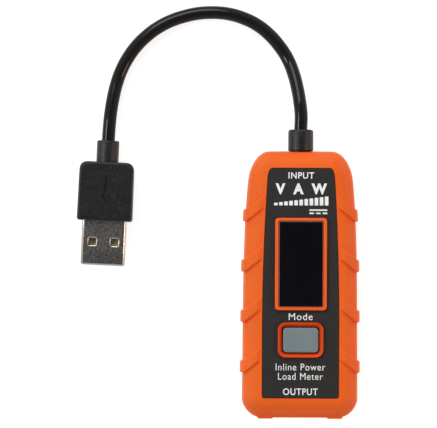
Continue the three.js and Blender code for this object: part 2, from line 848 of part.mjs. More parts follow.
// A contact lies under the tongue, runs out of the insulator's back and turns down to the board.
function socketContact(x) {
  const high = TONGUE_LOW - REST;
  const low = high - CONTACT.thick;
  const heel = SOCKET.back + 0.7;
  const profile = [
    [SOCKET.tongueFront + 0.5, low],
    [heel - CONTACT.thick, low],
    [heel - CONTACT.thick, PART_LOW],
    [heel, PART_LOW],
    [heel, high],
    [SOCKET.tongueFront + 0.5, high],
  ];
  return plateAlongX(profile, x - CONTACT.wide / 2, x + CONTACT.wide / 2);
}

// ---------------------------------------------------------------- screws

function caseScrew([x, y]) {
  const low = SCREW.headHigh - SCREW.headThick;
  return turned([
    [0, low],
    [SCREW.headRadius - 0.3, low],
    [SCREW.headRadius, low + 0.4],
    [SCREW.headRadius, SCREW.headHigh],
    [SCREW.shankRadius, SCREW.headHigh],
    [SCREW.shankRadius, SCREW.tip - 0.8],
    [0, SCREW.tip],
  ], x, y, 16);
}

// ---------------------------------------------------------------- lead

// The moulded strain relief: a flange inside the wall, a neck through it and the round boot.
function strainRelief() {
  const innerEnd = HOUSING.highEnd - LEAD.inside;
  const bootLow = HOUSING.highEnd + REST;
  const bootHigh = HOUSING.highEnd + LEAD.reliefLength;
  const flangeHigh = HOUSING.highEnd - LEAD.flangeDepth;
  const profile = [
    [0, innerEnd],
    [LEAD.neckRadius - 0.4, innerEnd],
    [LEAD.neckRadius - 0.4, flangeHigh - LEAD.flangeThick],
    [LEAD.flangeRadius, flangeHigh - LEAD.flangeThick],
    [LEAD.flangeRadius, flangeHigh],
    [LEAD.neckRadius, flangeHigh],
    [LEAD.neckRadius, bootLow],
    [LEAD.reliefRadius, bootLow],
    [LEAD.reliefRadius, bootHigh - LEAD.tipRound],
    [LEAD.reliefRadius - 0.3 * LEAD.tipRound, bootHigh - 0.3 * LEAD.tipRound],
    [LEAD.reliefRadius - LEAD.tipRound, bootHigh],
    [0, bootHigh],
  ];
  const points = profile.map(([radius, y]) => new THREE.Vector2(radius, y));
  return new THREE.LatheGeometry(points, 24).translate(0, 0, LEAD.exitZ);
}

function sweptRound(points, radius, sides, steps) {
  const section = new THREE.Shape();
  for (let i = 0; i < sides; i++) {
    const angle = (2 * Math.PI * (i + 0.5)) / sides;
    const corner = [radius * Math.cos(angle), radius * Math.sin(angle)];
    if (i === 0) section.moveTo(...corner);
    else section.lineTo(...corner);
  }
  const path = new THREE.CatmullRomCurve3(points);
  return new THREE.ExtrudeGeometry(section, { steps, extrudePath: path, bevelEnabled: false });
}

function powerCord() {
  const points = LEAD_ROUTE.map((place) => new THREE.Vector3(...place));
  return sweptRound(points, LEAD.radius, LEAD.sides, LEAD.steps);
}

function wire({ startX, startZ, landingX }) {
  const startY = HOUSING.highEnd - LEAD.inside - TURNED_FIT;
  const start = new THREE.Vector3(startX, startY, LEAD.exitZ + startZ);
  const touchdown = new THREE.Vector3(landingX, WIRE.touchdownY, BOARD_TOP + WIRE.radius + TURNED_FIT);
  const straightOut = start.clone().lerp(touchdown, 0.25).setZ(start.z - 0.3);
  const end = touchdown.clone().setY(WIRE.endY);
  return sweptRound([start, straightOut, touchdown, end], WIRE.radius, WIRE.sides, WIRE.steps);
}

// ---------------------------------------------------------------- plug

// The plug is drawn about its own shoulder: +Y towards the lead, the metal shell towards -Y.
function plugOvermold() {
  const p = PLUG;
  const half = new THREE.Path();
  half.moveTo(0, 0);
  half.lineTo(p.bodyWide / 2, 0);
  half.lineTo(p.bodyWideAtLead / 2, p.bodyLong - p.cornerRadius);
  half.quadraticCurveTo(
    p.bodyWideAtLead / 2, p.bodyLong,
    p.bodyWideAtLead / 2 - p.cornerRadius, p.bodyLong,
  );
  half.lineTo(0, p.bodyLong);
  const top = p.bodyThick / 2;
  const section = [[-top, p.edge], [-top + p.edge, 0], [top - p.edge, 0], [top, p.edge]];
  const centre = p.bodyLong / 2;
  const body = solidOf(loft(mirrored(half), p.bodyWide, p.bodyLong, section, centre));
  const boot = new THREE.LatheGeometry([
    new THREE.Vector2(0, p.bodyLong - 2),
    new THREE.Vector2(p.bootRadius, p.bodyLong - 2),
    new THREE.Vector2(p.bootRadius, p.bodyLong + p.bootLong - 0.9),
    new THREE.Vector2(p.bootRadius - 0.3, p.bodyLong + p.bootLong - 0.3),
    new THREE.Vector2(p.bootRadius - 0.9, p.bodyLong + p.bootLong),
    new THREE.Vector2(0, p.bodyLong + p.bootLong),
  ], 24);
  const pocket = centredBlock(
    p.shellWide + 2 * TURNED_FIT,
    2 * (p.shellIn + TURNED_FIT),
    0,
    -p.shellTall / 2 - TURNED_FIT,
    p.shellTall / 2 + TURNED_FIT,
  );
  return geometryOf(cut(join(body, boot), pocket));
}

function plugShell() {
  const p = PLUG;
  const sheath = solidOf(tube(p.shellWide, p.shellTall, p.sheet, -p.shellOut, p.shellIn, 0));
  const holeY = p.holeFromTip - p.shellOut;
  const holes = [-p.holeX, p.holeX].map((x) => centredBlock(p.holeWide, p.holeLong, holeY, 0.5, 3, x));
  return geometryOf(cut(sheath, ...holes));
}

const PLUG_SEAT = -PLUG.shellTall / 2 + PLUG.sheet + TURNED_FIT;
const PLUG_INSULATOR_HIGH = PLUG_SEAT + PLUG.insulatorThick;

function plugInsulator() {
  const wide = PLUG.shellWide - 2 * (PLUG.sheet + TURNED_FIT);
  return block(
    [-wide / 2, wide / 2],
    [-PLUG.shellOut + 0.4, PLUG.shellIn],
    [PLUG_SEAT, PLUG_INSULATOR_HIGH - TURNED_FIT],
  );
}

function plugContact(x) {
  return block(
    [x - CONTACT.wide / 2, x + CONTACT.wide / 2],
    [-PLUG.shellOut + 1.2, PLUG.shellIn - 1],
    [PLUG_INSULATOR_HIGH, PLUG_INSULATOR_HIGH + CONTACT.thick],
  );
}

// ---------------------------------------------------------------- assembly

function buildMeter() {
  addPiece('rear_shell', 'housing_orange', rearShell());
  addPiece('front_shell', 'housing_orange', frontShell());
  addPiece('face_label', 'face_black', faceLabel());
  addPiece('rear_label', 'rear_label', rearLabel());
  addPiece('display_window', 'display_dark', displayWindow());
  addPiece('display_panel', 'display_module', displayPanel());
  addPiece('display_carrier', 'carrier_white', displayCarrier());
  addPiece('display_ribbon', 'ribbon_amber', displayRibbon());
  SCREW.places.forEach((place, i) => addPiece(`case_screw_${i + 1}`, 'screw_steel', caseScrew(place)));
}

function buildSwitch() {
  addPiece('mode_button', 'button_grey', modeButton());
  addPiece('switch_base', 'switch_black', switchBase());
  addPiece('switch_cover', 'bright_steel', switchCover());
  addPiece('switch_plunger', 'switch_black', switchPlunger());
  addPiece('switch_dome', 'bright_steel', switchDome());
}

function buildBoard() {
  addPiece('main_board', 'board_green', mainBoard());
  for (const { name, slot, wide, long, tall, x, y } of BOARD_PARTS) {
    addPiece(name, slot, centredBlock(wide, long, y, PART_LOW, PART_LOW + tall, x));
  }
  addPiece('input_capacitor', 'can_aluminium', capacitorCan(9.0, 16.5));
  addPiece('output_capacitor', 'can_aluminium', capacitorCan(-8.8, -18));
}

function buildSocket() {
  addPiece('socket_shell', 'bright_steel', socketShell());
  addPiece('socket_insulator', 'insulator_white', socketInsulator());
  CONTACT.xs.forEach((x, i) => addPiece(`socket_contact_${i + 1}`, 'contact_gold', socketContact(x)));
}

function buildLead() {
  addPiece('cable_strain_relief', 'plug_black', strainRelief());
  addPiece('power_cord', 'lead_black', powerCord());
  WIRES.forEach((core) => addPiece(core.name, core.name, wire(core)));
}

function buildPlug() {
  const plug = new THREE.Group();
  plug.position.copy(PLUG.shoulder);
  plug.rotation.z = PLUG.turn;
  model.add(plug);
  addPiece('plug_overmold', 'plug_black', plugOvermold(), plug);
  addPiece('plug_shell', 'bright_steel', plugShell(), plug);
  addPiece('plug_insulator', 'insulator_white', plugInsulator(), plug);
  CONTACT.xs.forEach((x, i) => addPiece(`plug_contact_${i + 1}`, 'contact_gold', plugContact(x), plug));
}

buildMeter();
buildSwitch();
buildBoard();
buildSocket();
buildLead();
buildPlug();

export default model;
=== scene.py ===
"""A pocket USB power meter on its back, with its short input lead looped to a plug beside it.

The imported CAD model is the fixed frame. This script puts the finished surfaces around it: the
moulded shells, the printed label, the button, the plug and the lead, and every material.
Lengths are millimetres, which the mesh helpers turn into Blender's metres. The lead's route, the
lights' places and the materials' depths are in metres.
"""

import json
import math

import bpy
import numpy as np
from mathutils import Matrix, Vector


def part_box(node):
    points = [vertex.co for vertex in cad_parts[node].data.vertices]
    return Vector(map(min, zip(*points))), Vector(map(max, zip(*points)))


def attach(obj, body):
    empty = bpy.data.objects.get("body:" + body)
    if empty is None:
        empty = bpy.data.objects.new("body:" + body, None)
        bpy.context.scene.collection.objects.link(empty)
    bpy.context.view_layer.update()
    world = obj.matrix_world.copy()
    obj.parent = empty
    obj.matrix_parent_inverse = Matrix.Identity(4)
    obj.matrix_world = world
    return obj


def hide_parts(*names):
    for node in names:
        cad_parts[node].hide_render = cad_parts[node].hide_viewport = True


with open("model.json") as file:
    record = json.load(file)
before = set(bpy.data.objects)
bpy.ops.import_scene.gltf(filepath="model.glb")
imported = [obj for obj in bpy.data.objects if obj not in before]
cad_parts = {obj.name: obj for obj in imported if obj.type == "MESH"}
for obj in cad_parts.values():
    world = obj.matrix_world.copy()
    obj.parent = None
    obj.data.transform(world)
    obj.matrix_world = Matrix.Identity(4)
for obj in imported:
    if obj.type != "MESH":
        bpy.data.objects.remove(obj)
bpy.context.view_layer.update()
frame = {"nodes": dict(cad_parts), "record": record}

MM = 0.001


def box_mm(node):
    """A CAD node's lowest and highest corners, in millimetres."""
    low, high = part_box(node)
    return low / MM, high / MM


def centre_of(node):
    """The place (x, y) of a node on the housing's middle line."""
    low, high = box_mm(node)
    return 0, (low.y + high.y) / 2


# ---- driving dimensions

SEAM = 7.8  # height of the parting line between the two shells
SEAM_GAP = 0.1
FACE = 15.4  # height of the front face round the label
SPAN_OUT_TO_LABEL = 5.2  # from the housing's outline in to the label's edge

HOUSING = dict(
    half_width=15.62, draft=0.33, taper=1.12, taper_power=5, side_low=-30.8, side_high=28.2,
    low_end=-35.7, low_corner_x=11.3, low_pull=2.05,
    high_end=36.1, high_corner_x=8.7, high_pull=3.2, high_crown=0.1, high_lean=0.3, high_drop=0.25,
)
LABEL = dict(
    half_width=10.3, low=-30.3, low_radius=0.6, straight_to=-12.0,
    high=31.4, high_half_width=7.95, chamfer_start=29.5, chamfer_half_width=8.95,
    chamfer_lean=0.2, chamfer_pull=0.9, high_pull=0.45, high_cut=0.3, recess=0.5,
)

# How many points each stretch of half an outline has, from its low end to its high end.
STRETCH = dict(low_end=40, low_corner=16, side=500, high_corner=24, high_end=30)
SKIN_STEP = 0.21  # the longest step between the skin's points from the seam to the label

# Each shell's outside as (inset, height, rounding), starting at the seam.
FRONT_SECTION = [
    (0.12, SEAM + SEAM_GAP / 2, 0), (0.0, SEAM + 0.2, 0.1), (0.45, 11.9, 0.85), (2.75, 14.75, 0.85),
    (3.7, 15.15, 0.5), (5.12, FACE + 0.02, 0.1), (5.2, FACE - LABEL["recess"], 0),
]
REAR_SECTION = [
    (0.12, SEAM - SEAM_GAP / 2, 0), (0.0, SEAM - 0.2, 0.1), (0.5, 3.9, 1.2), (3.3, 0.35, 1.0),
    (4.3, 0.0, 0.3), (4.6, 0.0, 0),
]
# Each shell's inside as (inset, height), ending at the seam.
FRONT_CAVITY = [(4.4, 13.6), (2.35, 11.9), (1.8, SEAM + SEAM_GAP / 2)]
REAR_CAVITY = [(4.6, 1.8), (2.7, 3.7), (1.8, SEAM - SEAM_GAP / 2)]

RIB = dict(
    first_y=-22.1, pitch=13.6, count=4, half_width=1.62, proud=0.65, lower_edge=0.42, upper_edge=0.6,
    upper_slant=0.80, upper_from=0.25, lower_slant=0.92, lower_from=0.75,
    fade_in=1.5, lowest=2.6, fade_down=1.4,
)
# Parts of the output end's wall: the upright face round the socket, and the pad on either side.
END_FACE = dict(near=-1, far=7.8, low=4.2, high=11.8, edge=0.3, face=HOUSING["low_end"])
PAD = dict(near=7.4, far=11.5, low=3.4, high=11.9, edge=0.35, face=-36.0)
END_REACH = 2.5  # how far from the end these may draw the skin out
SOCKET_GAP = 0.15
LEAD_HOLE_RADIUS = 3.05

DISPLAY_FRAME = dict(wide=13.9, long=24.75, radius=0.95, rim=15.95, top=16.0)
BEZEL = dict(wide=12.2, long=9.35, radius=2.0, rim=15.85, top=16.2, root=14.0)  # round the button
BUTTON_HOLE = dict(wide=9.9, long=7.1, radius=0.85, slope=0.9)
FRAME_ROOT = FACE - LABEL["recess"] - 0.3  # where both rings start, inside the face
LABEL_GAP = 0.06  # between the label and the rings that stand through it

SCREWS = [(-9.3, -28.5), (9.3, -28.5), (-8.0, 27.6), (8.0, 27.6)]
SCREW_HOLE = dict(mouth=2.1, head=1.95, head_depth=3.15, shank=1.1)
SCREW = dict(head_top=3.1, shank=0.95, point=0.8, slot_long=2.1, slot_wide=0.42, slot_deep=0.75)

CAD_EDGE = 0.06  # the bevel on the CAD nodes' edges
PRINT_LIFT = 0.012
# Each legend's name, words, centre's y, cap height, width and extra weight.
LEGENDS = [
    ("print_input", "INPUT", 29.45, 1.66, 6.9, 0.014),
    ("print_units", "V  A  W", 25.95, 2.75, 13.8, 0.05),
    ("print_mode", "Mode", -8.4, 1.8, 6.4, 0.0),
    ("print_kind", "Inline Power", -21.9, 1.8, 13.3, 0.0),
    ("print_use", "Load Meter", -24.4, 1.8, 12.0, 0.0),
    ("print_output", "OUTPUT", -28.5, 1.75, 9.3, 0.012),
]
BARS = dict(count=11, pitch=1.36, wide=0.96, shortest=0.7, rise=1.7, base=21.4)
DC_SIGN = dict(middle_x=4.6, wide=4.8, thick=0.42, line_y=20.15, dash_y=19.3, dash=1.24, dashes=3)

# The lead's route, in metres, from the strain relief round to the plug's boot.
LEAD_ROUTE = [
    (0.0, 0.0422, 0.0078), (0.0001, 0.0455, 0.0077), (-0.00025, 0.0492, 0.007),
    (-0.00085, 0.0529, 0.0055), (-0.0019, 0.0572, 0.0036), (-0.00355, 0.0614, 0.00225),
    (-0.0056, 0.0646, 0.0019), (-0.0087, 0.0681, 0.00185), (-0.0121, 0.0707, 0.00185),
    (-0.0154, 0.0723, 0.00185), (-0.0186, 0.0733, 0.00185), (-0.0219, 0.0738, 0.00185),
    (-0.0252, 0.07385, 0.00185), (-0.0284, 0.07355, 0.00185), (-0.0317, 0.0728, 0.00185),
    (-0.035, 0.0717, 0.00185), (-0.0383, 0.07005, 0.00185), (-0.0416, 0.0677, 0.00185),
    (-0.0446, 0.06475, 0.00185), (-0.0469, 0.0616, 0.00185), (-0.0487, 0.0582, 0.0019),
    (-0.04995, 0.0547, 0.00225), (-0.05085, 0.0509, 0.003), (-0.0515, 0.0469, 0.0037),
    (-0.0519, 0.043, 0.004), (-0.05215, 0.03915, 0.004),
]
LEAD_DIAMETER = 0.0036
LEAD_TUCK = 0.0010  # how far each end runs on inside its boot
LEAD_BORE = LEAD_DIAMETER / MM / 2 + 0.02  # the radius where a boot closes on the lead

PLUG_SHOULDER = Vector((-53.08, 17.0, 4.0))
PLUG_TURN = math.radians(-2.4)
PLUG = dict(
    wide=14.95, wide_at_lead=14.65, long=16.0, thick=8.0, lead_corner=2.35, shell_corner=0.8,
    boot_radius=3.0, boot_long=5.8, shell_wide=12.0, shell_tall=4.5, shell_out=12.05,
    sheet=0.32, hole_wide=2.3, hole_long=2.15, hole_rim=0.26, hole_x=3.0, hole_from_tip=6.3,
)
PLUG_MATRIX = Matrix.Translation(PLUG_SHOULDER) @ Matrix.Rotation(PLUG_TURN, 4, "Z")
ARROW = dict(depth=0.32, half_wide=1.35, barb=2.1, notch=1.75, shaft_wide=0.6, shaft_long=4.4)

# The camera hangs over this point and spans this width at the plug's height.
CAMERA = dict(x=-22.15, y=19.0, z=800.0, view_width=118.75, roll=math.radians(0.26))

# ---- camera and lead


def link(name, data):
    piece = bpy.data.objects.new(name, data)
    bpy.context.scene.collection.objects.link(piece)
    return piece


def add_camera():
    data = bpy.data.cameras.new("camera")
    data.sensor_fit = "HORIZONTAL"
    data.lens = data.sensor_width * (CAMERA["z"] - PLUG_SHOULDER.z) / CAMERA["view_width"]
    data.clip_start = 0.01
    camera = link("camera", data)
    camera.location = Vector((CAMERA["x"], CAMERA["y"], CAMERA["z"])) * MM
    camera.rotation_euler = (0, 0, CAMERA["roll"])
    bpy.context.scene.camera = camera


def add_lead():
    """The lead as a round curve through its route, with each end tucked into its boot."""
    start, end = Vector(LEAD_ROUTE[0]), Vector(LEAD_ROUTE[-1])
    along_plug = Vector((-math.sin(PLUG_TURN), math.cos(PLUG_TURN), 0))
    tucked_start = start - Vector((0, LEAD_TUCK, 0))
    tucked_end = end - along_plug * LEAD_TUCK
    points = [tucked_start, *map(Vector, LEAD_ROUTE), tucked_end]
    curve = bpy.data.curves.new("lead_cable", "CURVE")
    curve.dimensions = "3D"
    curve.bevel_depth = LEAD_DIAMETER / 2
    curve.bevel_resolution = 8
    curve.resolution_u = 8
    curve.use_fill_caps = True
    spline = curve.splines.new("BEZIER")
    spline.bezier_points.add(len(points) - 1)
    for knot, point in zip(spline.bezier_points, points):
        knot.co = point
        knot.handle_left_type = knot.handle_right_type = "AUTO"
    return link("lead_cable", curve)


add_camera()
lead = add_lead()

# ---- mesh helpers


def mesh_piece(name, points, faces, smooth_angle=35):
    """A mesh from points in millimetres, smooth except along edges sharper than the angle."""
    mesh = bpy.data.meshes.new(name)
    mesh.from_pydata([tuple(float(c) * MM for c in p) for p in points], [], faces)
    mesh.validate()
    piece = link(name, mesh)
    shade(piece, smooth_angle)
    return piece


def shade(piece, smooth_angle=35):
    piece.data.shade_smooth()
    piece.data.set_sharp_from_angle(angle=math.radians(smooth_angle))


def loft(name, rings, smooth_angle=35):
    """A closed skin over rings of equal length, capped at both ends."""
    rings = np.asarray(rings, float)
    rows, columns = rings.shape[:2]
    faces = []
    for r in range(rows - 1):
        for c in range(columns):
            d = (c + 1) % columns
            here, above = r * columns, (r + 1) * columns
            faces.append((here + c, here + d, above + d, above + c))
    faces.append(tuple(reversed(range(columns))))
    faces.append(tuple((rows - 1) * columns + c for c in range(columns)))
    piece = mesh_piece(name, rings.reshape(-1, 3), faces, smooth_angle)
    if signed_volume(piece) < 0:
        piece.data.flip_normals()
    return piece


def signed_volume(piece):
    """Six times the mesh's volume, which is negative if its faces point inwards."""
    piece.data.calc_loop_triangles()
    corners = [v.co for v in piece.data.vertices]
    total = 0.0
    for triangle in piece.data.loop_triangles:
        a, b, c = (corners[i] for i in triangle.vertices)
        total += a.dot(b.cross(c))
    return total


def soften(corners, steps=6):
    """A path through (a, b, rounding) corners, each rounded off over that distance."""
    path = [np.array(corners[0][:2], float)]
    for before, corner, after in zip(corners, corners[1:], corners[2:]):
        here = np.array(corner[:2], float)
        if corner[2] == 0:
            path.append(here)
            continue
        back = np.array(before[:2], float) - here
        on = np.array(after[:2], float) - here
        start = here + back / np.linalg.norm(back) * min(corner[2], np.linalg.norm(back) * 0.5)
        end = here + on / np.linalg.norm(on) * min(corner[2], np.linalg.norm(on) * 0.5)
        for i in range(steps + 1):
            t = i / steps
            path.append((1 - t) ** 2 * start + 2 * t * (1 - t) * here + t ** 2 * end)
    path.append(np.array(corners[-1][:2], float))
    return path


def resample(path, step):
    """The path again, with points no further apart than step and every corner kept."""
    dense = [path[0]]
    for start, end in zip(path, path[1:]):
        pieces = max(1, math.ceil(np.linalg.norm(end - start) / step))
        dense += [start + (end - start) * (i + 1) / pieces for i in range(pieces)]
    return dense


def rounded_rectangle(wide, long, radius, centre=(0, 0), steps=8):
    """Points round a rectangle with rounded corners, the same number for every size."""
    radius = max(0.02, min(radius, wide / 2 - 0.01, long / 2 - 0.01))
    points = []
    for quarter, (sx, sy) in enumerate([(1, 1), (-1, 1), (-1, -1), (1, -1)]):
        for i in range(steps + 1):
            angle = math.pi / 2 * (quarter + i / steps)
            points.append((
                centre[0] + sx * (wide / 2 - radius) + radius * math.cos(angle),
                centre[1] + sy * (long / 2 - radius) + radius * math.sin(angle),
            ))
    return points


def slab(name, wide, long, radius, section, centre=(0, 0), steps=8, smooth_angle=35):
    """A rounded-rectangle block whose (inset, height) section runs from its low to its high face."""
    rings = [
        [(x, y, height) for x, y in rounded_rectangle(
            wide - 2 * inset, long - 2 * inset, radius - inset, centre, steps)]
        for inset, height in section
    ]
    return loft(name, rings, smooth_angle)


def turned(name, profile, sides=64):
    """A solid of revolution about Z from (radius, height) pairs; its ends are closed flat."""
    angles = [2 * math.pi * i / sides for i in range(sides)]
    rings = [[(r * math.cos(a), r * math.sin(a), z) for a in angles] for r, z in profile]
    return loft(name, rings)


def moved(piece, matrix):
    """Applies a millimetre transform to the piece's own mesh."""
    metres = matrix.copy()
    metres.translation = matrix.translation * MM
    piece.data.transform(metres)
    return piece


def combine(piece, others, operation):
    """Joins the other meshes to the piece, or cuts them from it, and removes them."""
    for other in others:
        modifier = piece.modifiers.new("combine", "BOOLEAN")
        modifier.operation = operation
        modifier.solver = "EXACT"
        modifier.object = other
        depsgraph = bpy.context.evaluated_depsgraph_get()
        result = bpy.data.meshes.new_from_object(piece.evaluated_get(depsgraph))
        piece.modifiers.clear()
        old = piece.data
        piece.data = result
        bpy.data.meshes.remove(old)
        bpy.data.objects.remove(other)
    shade(piece)
    return piece


Y_UP = Matrix.Rotation(math.radians(-90), 4, "X")  # turns a shape drawn about Z to run along +Y

# ---- finishing a piece


def finish_piece(piece, slot, nodes, body="meter"):
    """Gives the piece its slot's material, its body and the CAD nodes that it stands for."""
    piece.data.materials.clear()
    piece.data.materials.append(MATERIALS[slot])
    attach(piece, body)
    if nodes:
        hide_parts(*nodes)
    return piece


def paint_edge_light(piece, material):
    """Gives the sloping edges, between the flat top and the sides, a material of their own, picked by
    which way they face, to paint how they catch the light.
    """
    steepest, flattest = 0.25, 0.97
    piece.data.materials.append(material)
    for face in piece.data.polygons:
        if steepest < face.normal.z < flattest:
            face.material_index = 1


# ---- materials

# The reach of the painted shade in grooves and inside corners.
SHADE_PAINT_REACH = 0.0018  # how near another surface has to be for a groove, in metres


def new_material(name):
    material = bpy.data.materials.new(name)
    material.use_nodes = True
    shader = material.node_tree.nodes["Principled BSDF"]
    return material, material.node_tree, shader


def object_coordinates(tree):
    return tree.nodes.new("ShaderNodeTexCoord").outputs["Object"]


def noise_at(tree, scale, detail=3.0, roughness=0.55):
    """Noise with features about 1/scale metres across."""
    noise = tree.nodes.new("ShaderNodeTexNoise")
    noise.inputs["Scale"].default_value = scale
    noise.inputs["Detail"].default_value = detail
    noise.inputs["Roughness"].default_value = roughness
    tree.links.new(object_coordinates(tree), noise.inputs["Vector"])
    return noise.outputs["Fac"]


def spread(tree, value, low, high, start=0.3, end=0.7):
    """Maps noise between start and end to the range low to high."""
    node = tree.nodes.new("ShaderNodeMapRange")
    node.inputs["From Min"].default_value = start
    node.inputs["From Max"].default_value = end
    node.inputs["To Min"].default_value = low
    node.inputs["To Max"].default_value = high
    tree.links.new(value, node.inputs["Value"])
    return node.outputs["Result"]


def colours(tree, factor, stops):
    """Turns a value into a colour by (place, colour) stops."""
    ramp = tree.nodes.new("ShaderNodeValToRGB")
    while len(ramp.color_ramp.elements) < len(stops):
        ramp.color_ramp.elements.new(0.5)
    for element, (place, colour) in zip(ramp.color_ramp.elements, stops):
        element.position = place
        element.color = (*colour, 1)
    tree.links.new(factor, ramp.inputs["Fac"])
    return ramp.outputs["Color"]


def bump(tree, shader, height, distance):
    node = tree.nodes.new("ShaderNodeBump")
    node.inputs["Distance"].default_value = distance
    tree.links.new(height, node.inputs["Height"])
    tree.links.new(node.outputs["Normal"], shader.inputs["Normal"])


def shade_of(colour, factor):
    return tuple(channel * factor for channel in colour)


def vary_roughness(tree, shader, value, low, high):
    tree.links.new(spread(tree, value, low, high), shader.inputs["Roughness"])


def live_socket(sockets, name, kind):
    """The socket that the node uses, out of those that share a name."""
    return next(s for s in sockets if s.name == name and s.type == kind and s.enabled)


def paint_crevice_shade(tree, colour, tint):
    """Paints shade into a colour: multiplies it by a tint in grooves and inside corners, where less
    light reaches.
    """
    occlusion = tree.nodes.new("ShaderNodeAmbientOcclusion")
    occlusion.samples = 8
    occlusion.inputs["Distance"].default_value = SHADE_PAINT_REACH
    depth = spread(tree, occlusion.outputs["AO"], 1.0, 0.0, 0.45, 0.95)
    mix = tree.nodes.new("ShaderNodeMix")
    mix.data_type = "RGBA"
    mix.blend_type = "MULTIPLY"
    tree.links.new(depth, live_socket(mix.inputs, "Factor", "VALUE"))
    tree.links.new(colour, live_socket(mix.inputs, "A", "RGBA"))
    live_socket(mix.inputs, "B", "RGBA").default_value = (*tint, 1)
    return live_socket(mix.outputs, "Result", "RGBA")


def moulded_plastic(
        name, colour, roughness, grain=5200, depth=0.00002, mottle=0.06, ior=1.4, crevice_shade=None):
    """Spark-eroded moulding grain, with slightly uneven colour and gloss, and, when a tint is given,
    shade painted into its grooves and inside corners.
    """
    material, tree, shader = new_material(name)
    broad = noise_at(tree, 90, 4)
    stops = [(0.3, shade_of(colour, 1 - mottle)), (0.7, shade_of(colour, 1 + mottle))]
    base = colours(tree, broad, stops)
    if crevice_shade:
        base = paint_crevice_shade(tree, base, crevice_shade)
    tree.links.new(base, shader.inputs["Base Color"])
    fine = noise_at(tree, grain, 2)
    vary_roughness(tree, shader, fine, roughness - 0.06, roughness + 0.08)
    shader.inputs["IOR"].default_value = ior
    bump(tree, shader, fine, depth)
    return material


def grains_at(tree, scale):
    """A random value for each of many small grains, so many to the metre."""
    grains = tree.nodes.new("ShaderNodeTexVoronoi")
    grains.inputs["Scale"].default_value = scale
    tree.links.new(object_coordinates(tree), grains.inputs["Vector"])
    return grains.outputs["Color"]


def speckled_plastic(name, colour, speck, roughness, grain=3400, depth=0.00003, ior=1.33):
    """A dark textured surface whose grain catches the light in scattered points."""
    material, tree, shader = new_material(name)
    stops = [(0.3, shade_of(colour, 0.8)), (0.72, colour), (0.9, speck)]
    tree.links.new(colours(tree, grains_at(tree, grain), stops), shader.inputs["Base Color"])
    fine = noise_at(tree, grain, 3, 0.6)
    vary_roughness(tree, shader, noise_at(tree, 260, 3), roughness * 0.92, roughness * 1.08)
    shader.inputs["IOR"].default_value = ior
    bump(tree, shader, fine, depth)
    return material


def plated_metal(name, colour, roughness, depth=0.000012, dull=0.3):
    """Plated sheet: fine grains, some dull and some bright."""
    material, tree, shader = new_material(name)
    shader.inputs["Metallic"].default_value = 1.0
    stops = [(0.2, shade_of(colour, 1 - dull)), (0.55, colour), (0.85, shade_of(colour, 1 + dull))]
    tree.links.new(colours(tree, grains_at(tree, 4600), stops), shader.inputs["Base Color"])
    vary_roughness(tree, shader, noise_at(tree, 260, 3), roughness * 0.92, roughness * 1.08)
    bump(tree, shader, noise_at(tree, 3800, 2, 0.6), depth)
    return material


def gloss_plastic(name, colour, roughness, ripple=0.000003, ior=1.45):
    """Smooth glossy plastic with a barely uneven surface."""
    material, tree, shader = new_material(name)
    broad = noise_at(tree, 140, 3)
    stops = [(0.3, shade_of(colour, 0.9)), (0.7, shade_of(colour, 1.1))]
    tree.links.new(colours(tree, broad, stops), shader.inputs["Base Color"])
    vary_roughness(tree, shader, noise_at(tree, 900, 3), roughness * 0.7, roughness * 1.3)
    shader.inputs["IOR"].default_value = ior
    bump(tree, shader, noise_at(tree, 400, 2), ripple)
    return material


LABEL_BLACK, LABEL_SPECK = (0.0188, 0.0155, 0.0146), (0.026, 0.022, 0.021)
PLUG_BLACK, PLUG_SPECK = (0.0056, 0.0048, 0.0052), (0.027, 0.025, 0.026)
BUTTON_GREY = (0.138, 0.166, 0.175)
WIRE_COLOURS = dict(
    red=(0.42, 0.02, 0.012), white=(0.76, 0.74, 0.70), green=(0.03, 0.20, 0.04),
    black=(0.012, 0.011, 0.012),
)


def orange_plastic(name, colour, crevice_shade):
    """The housing's soft-looking plastic, with shade painted into its grooves that makes it redder
    there.
    """
    return moulded_plastic(name, colour, 0.5, mottle=0.03, ior=1.19, crevice_shade=crevice_shade)


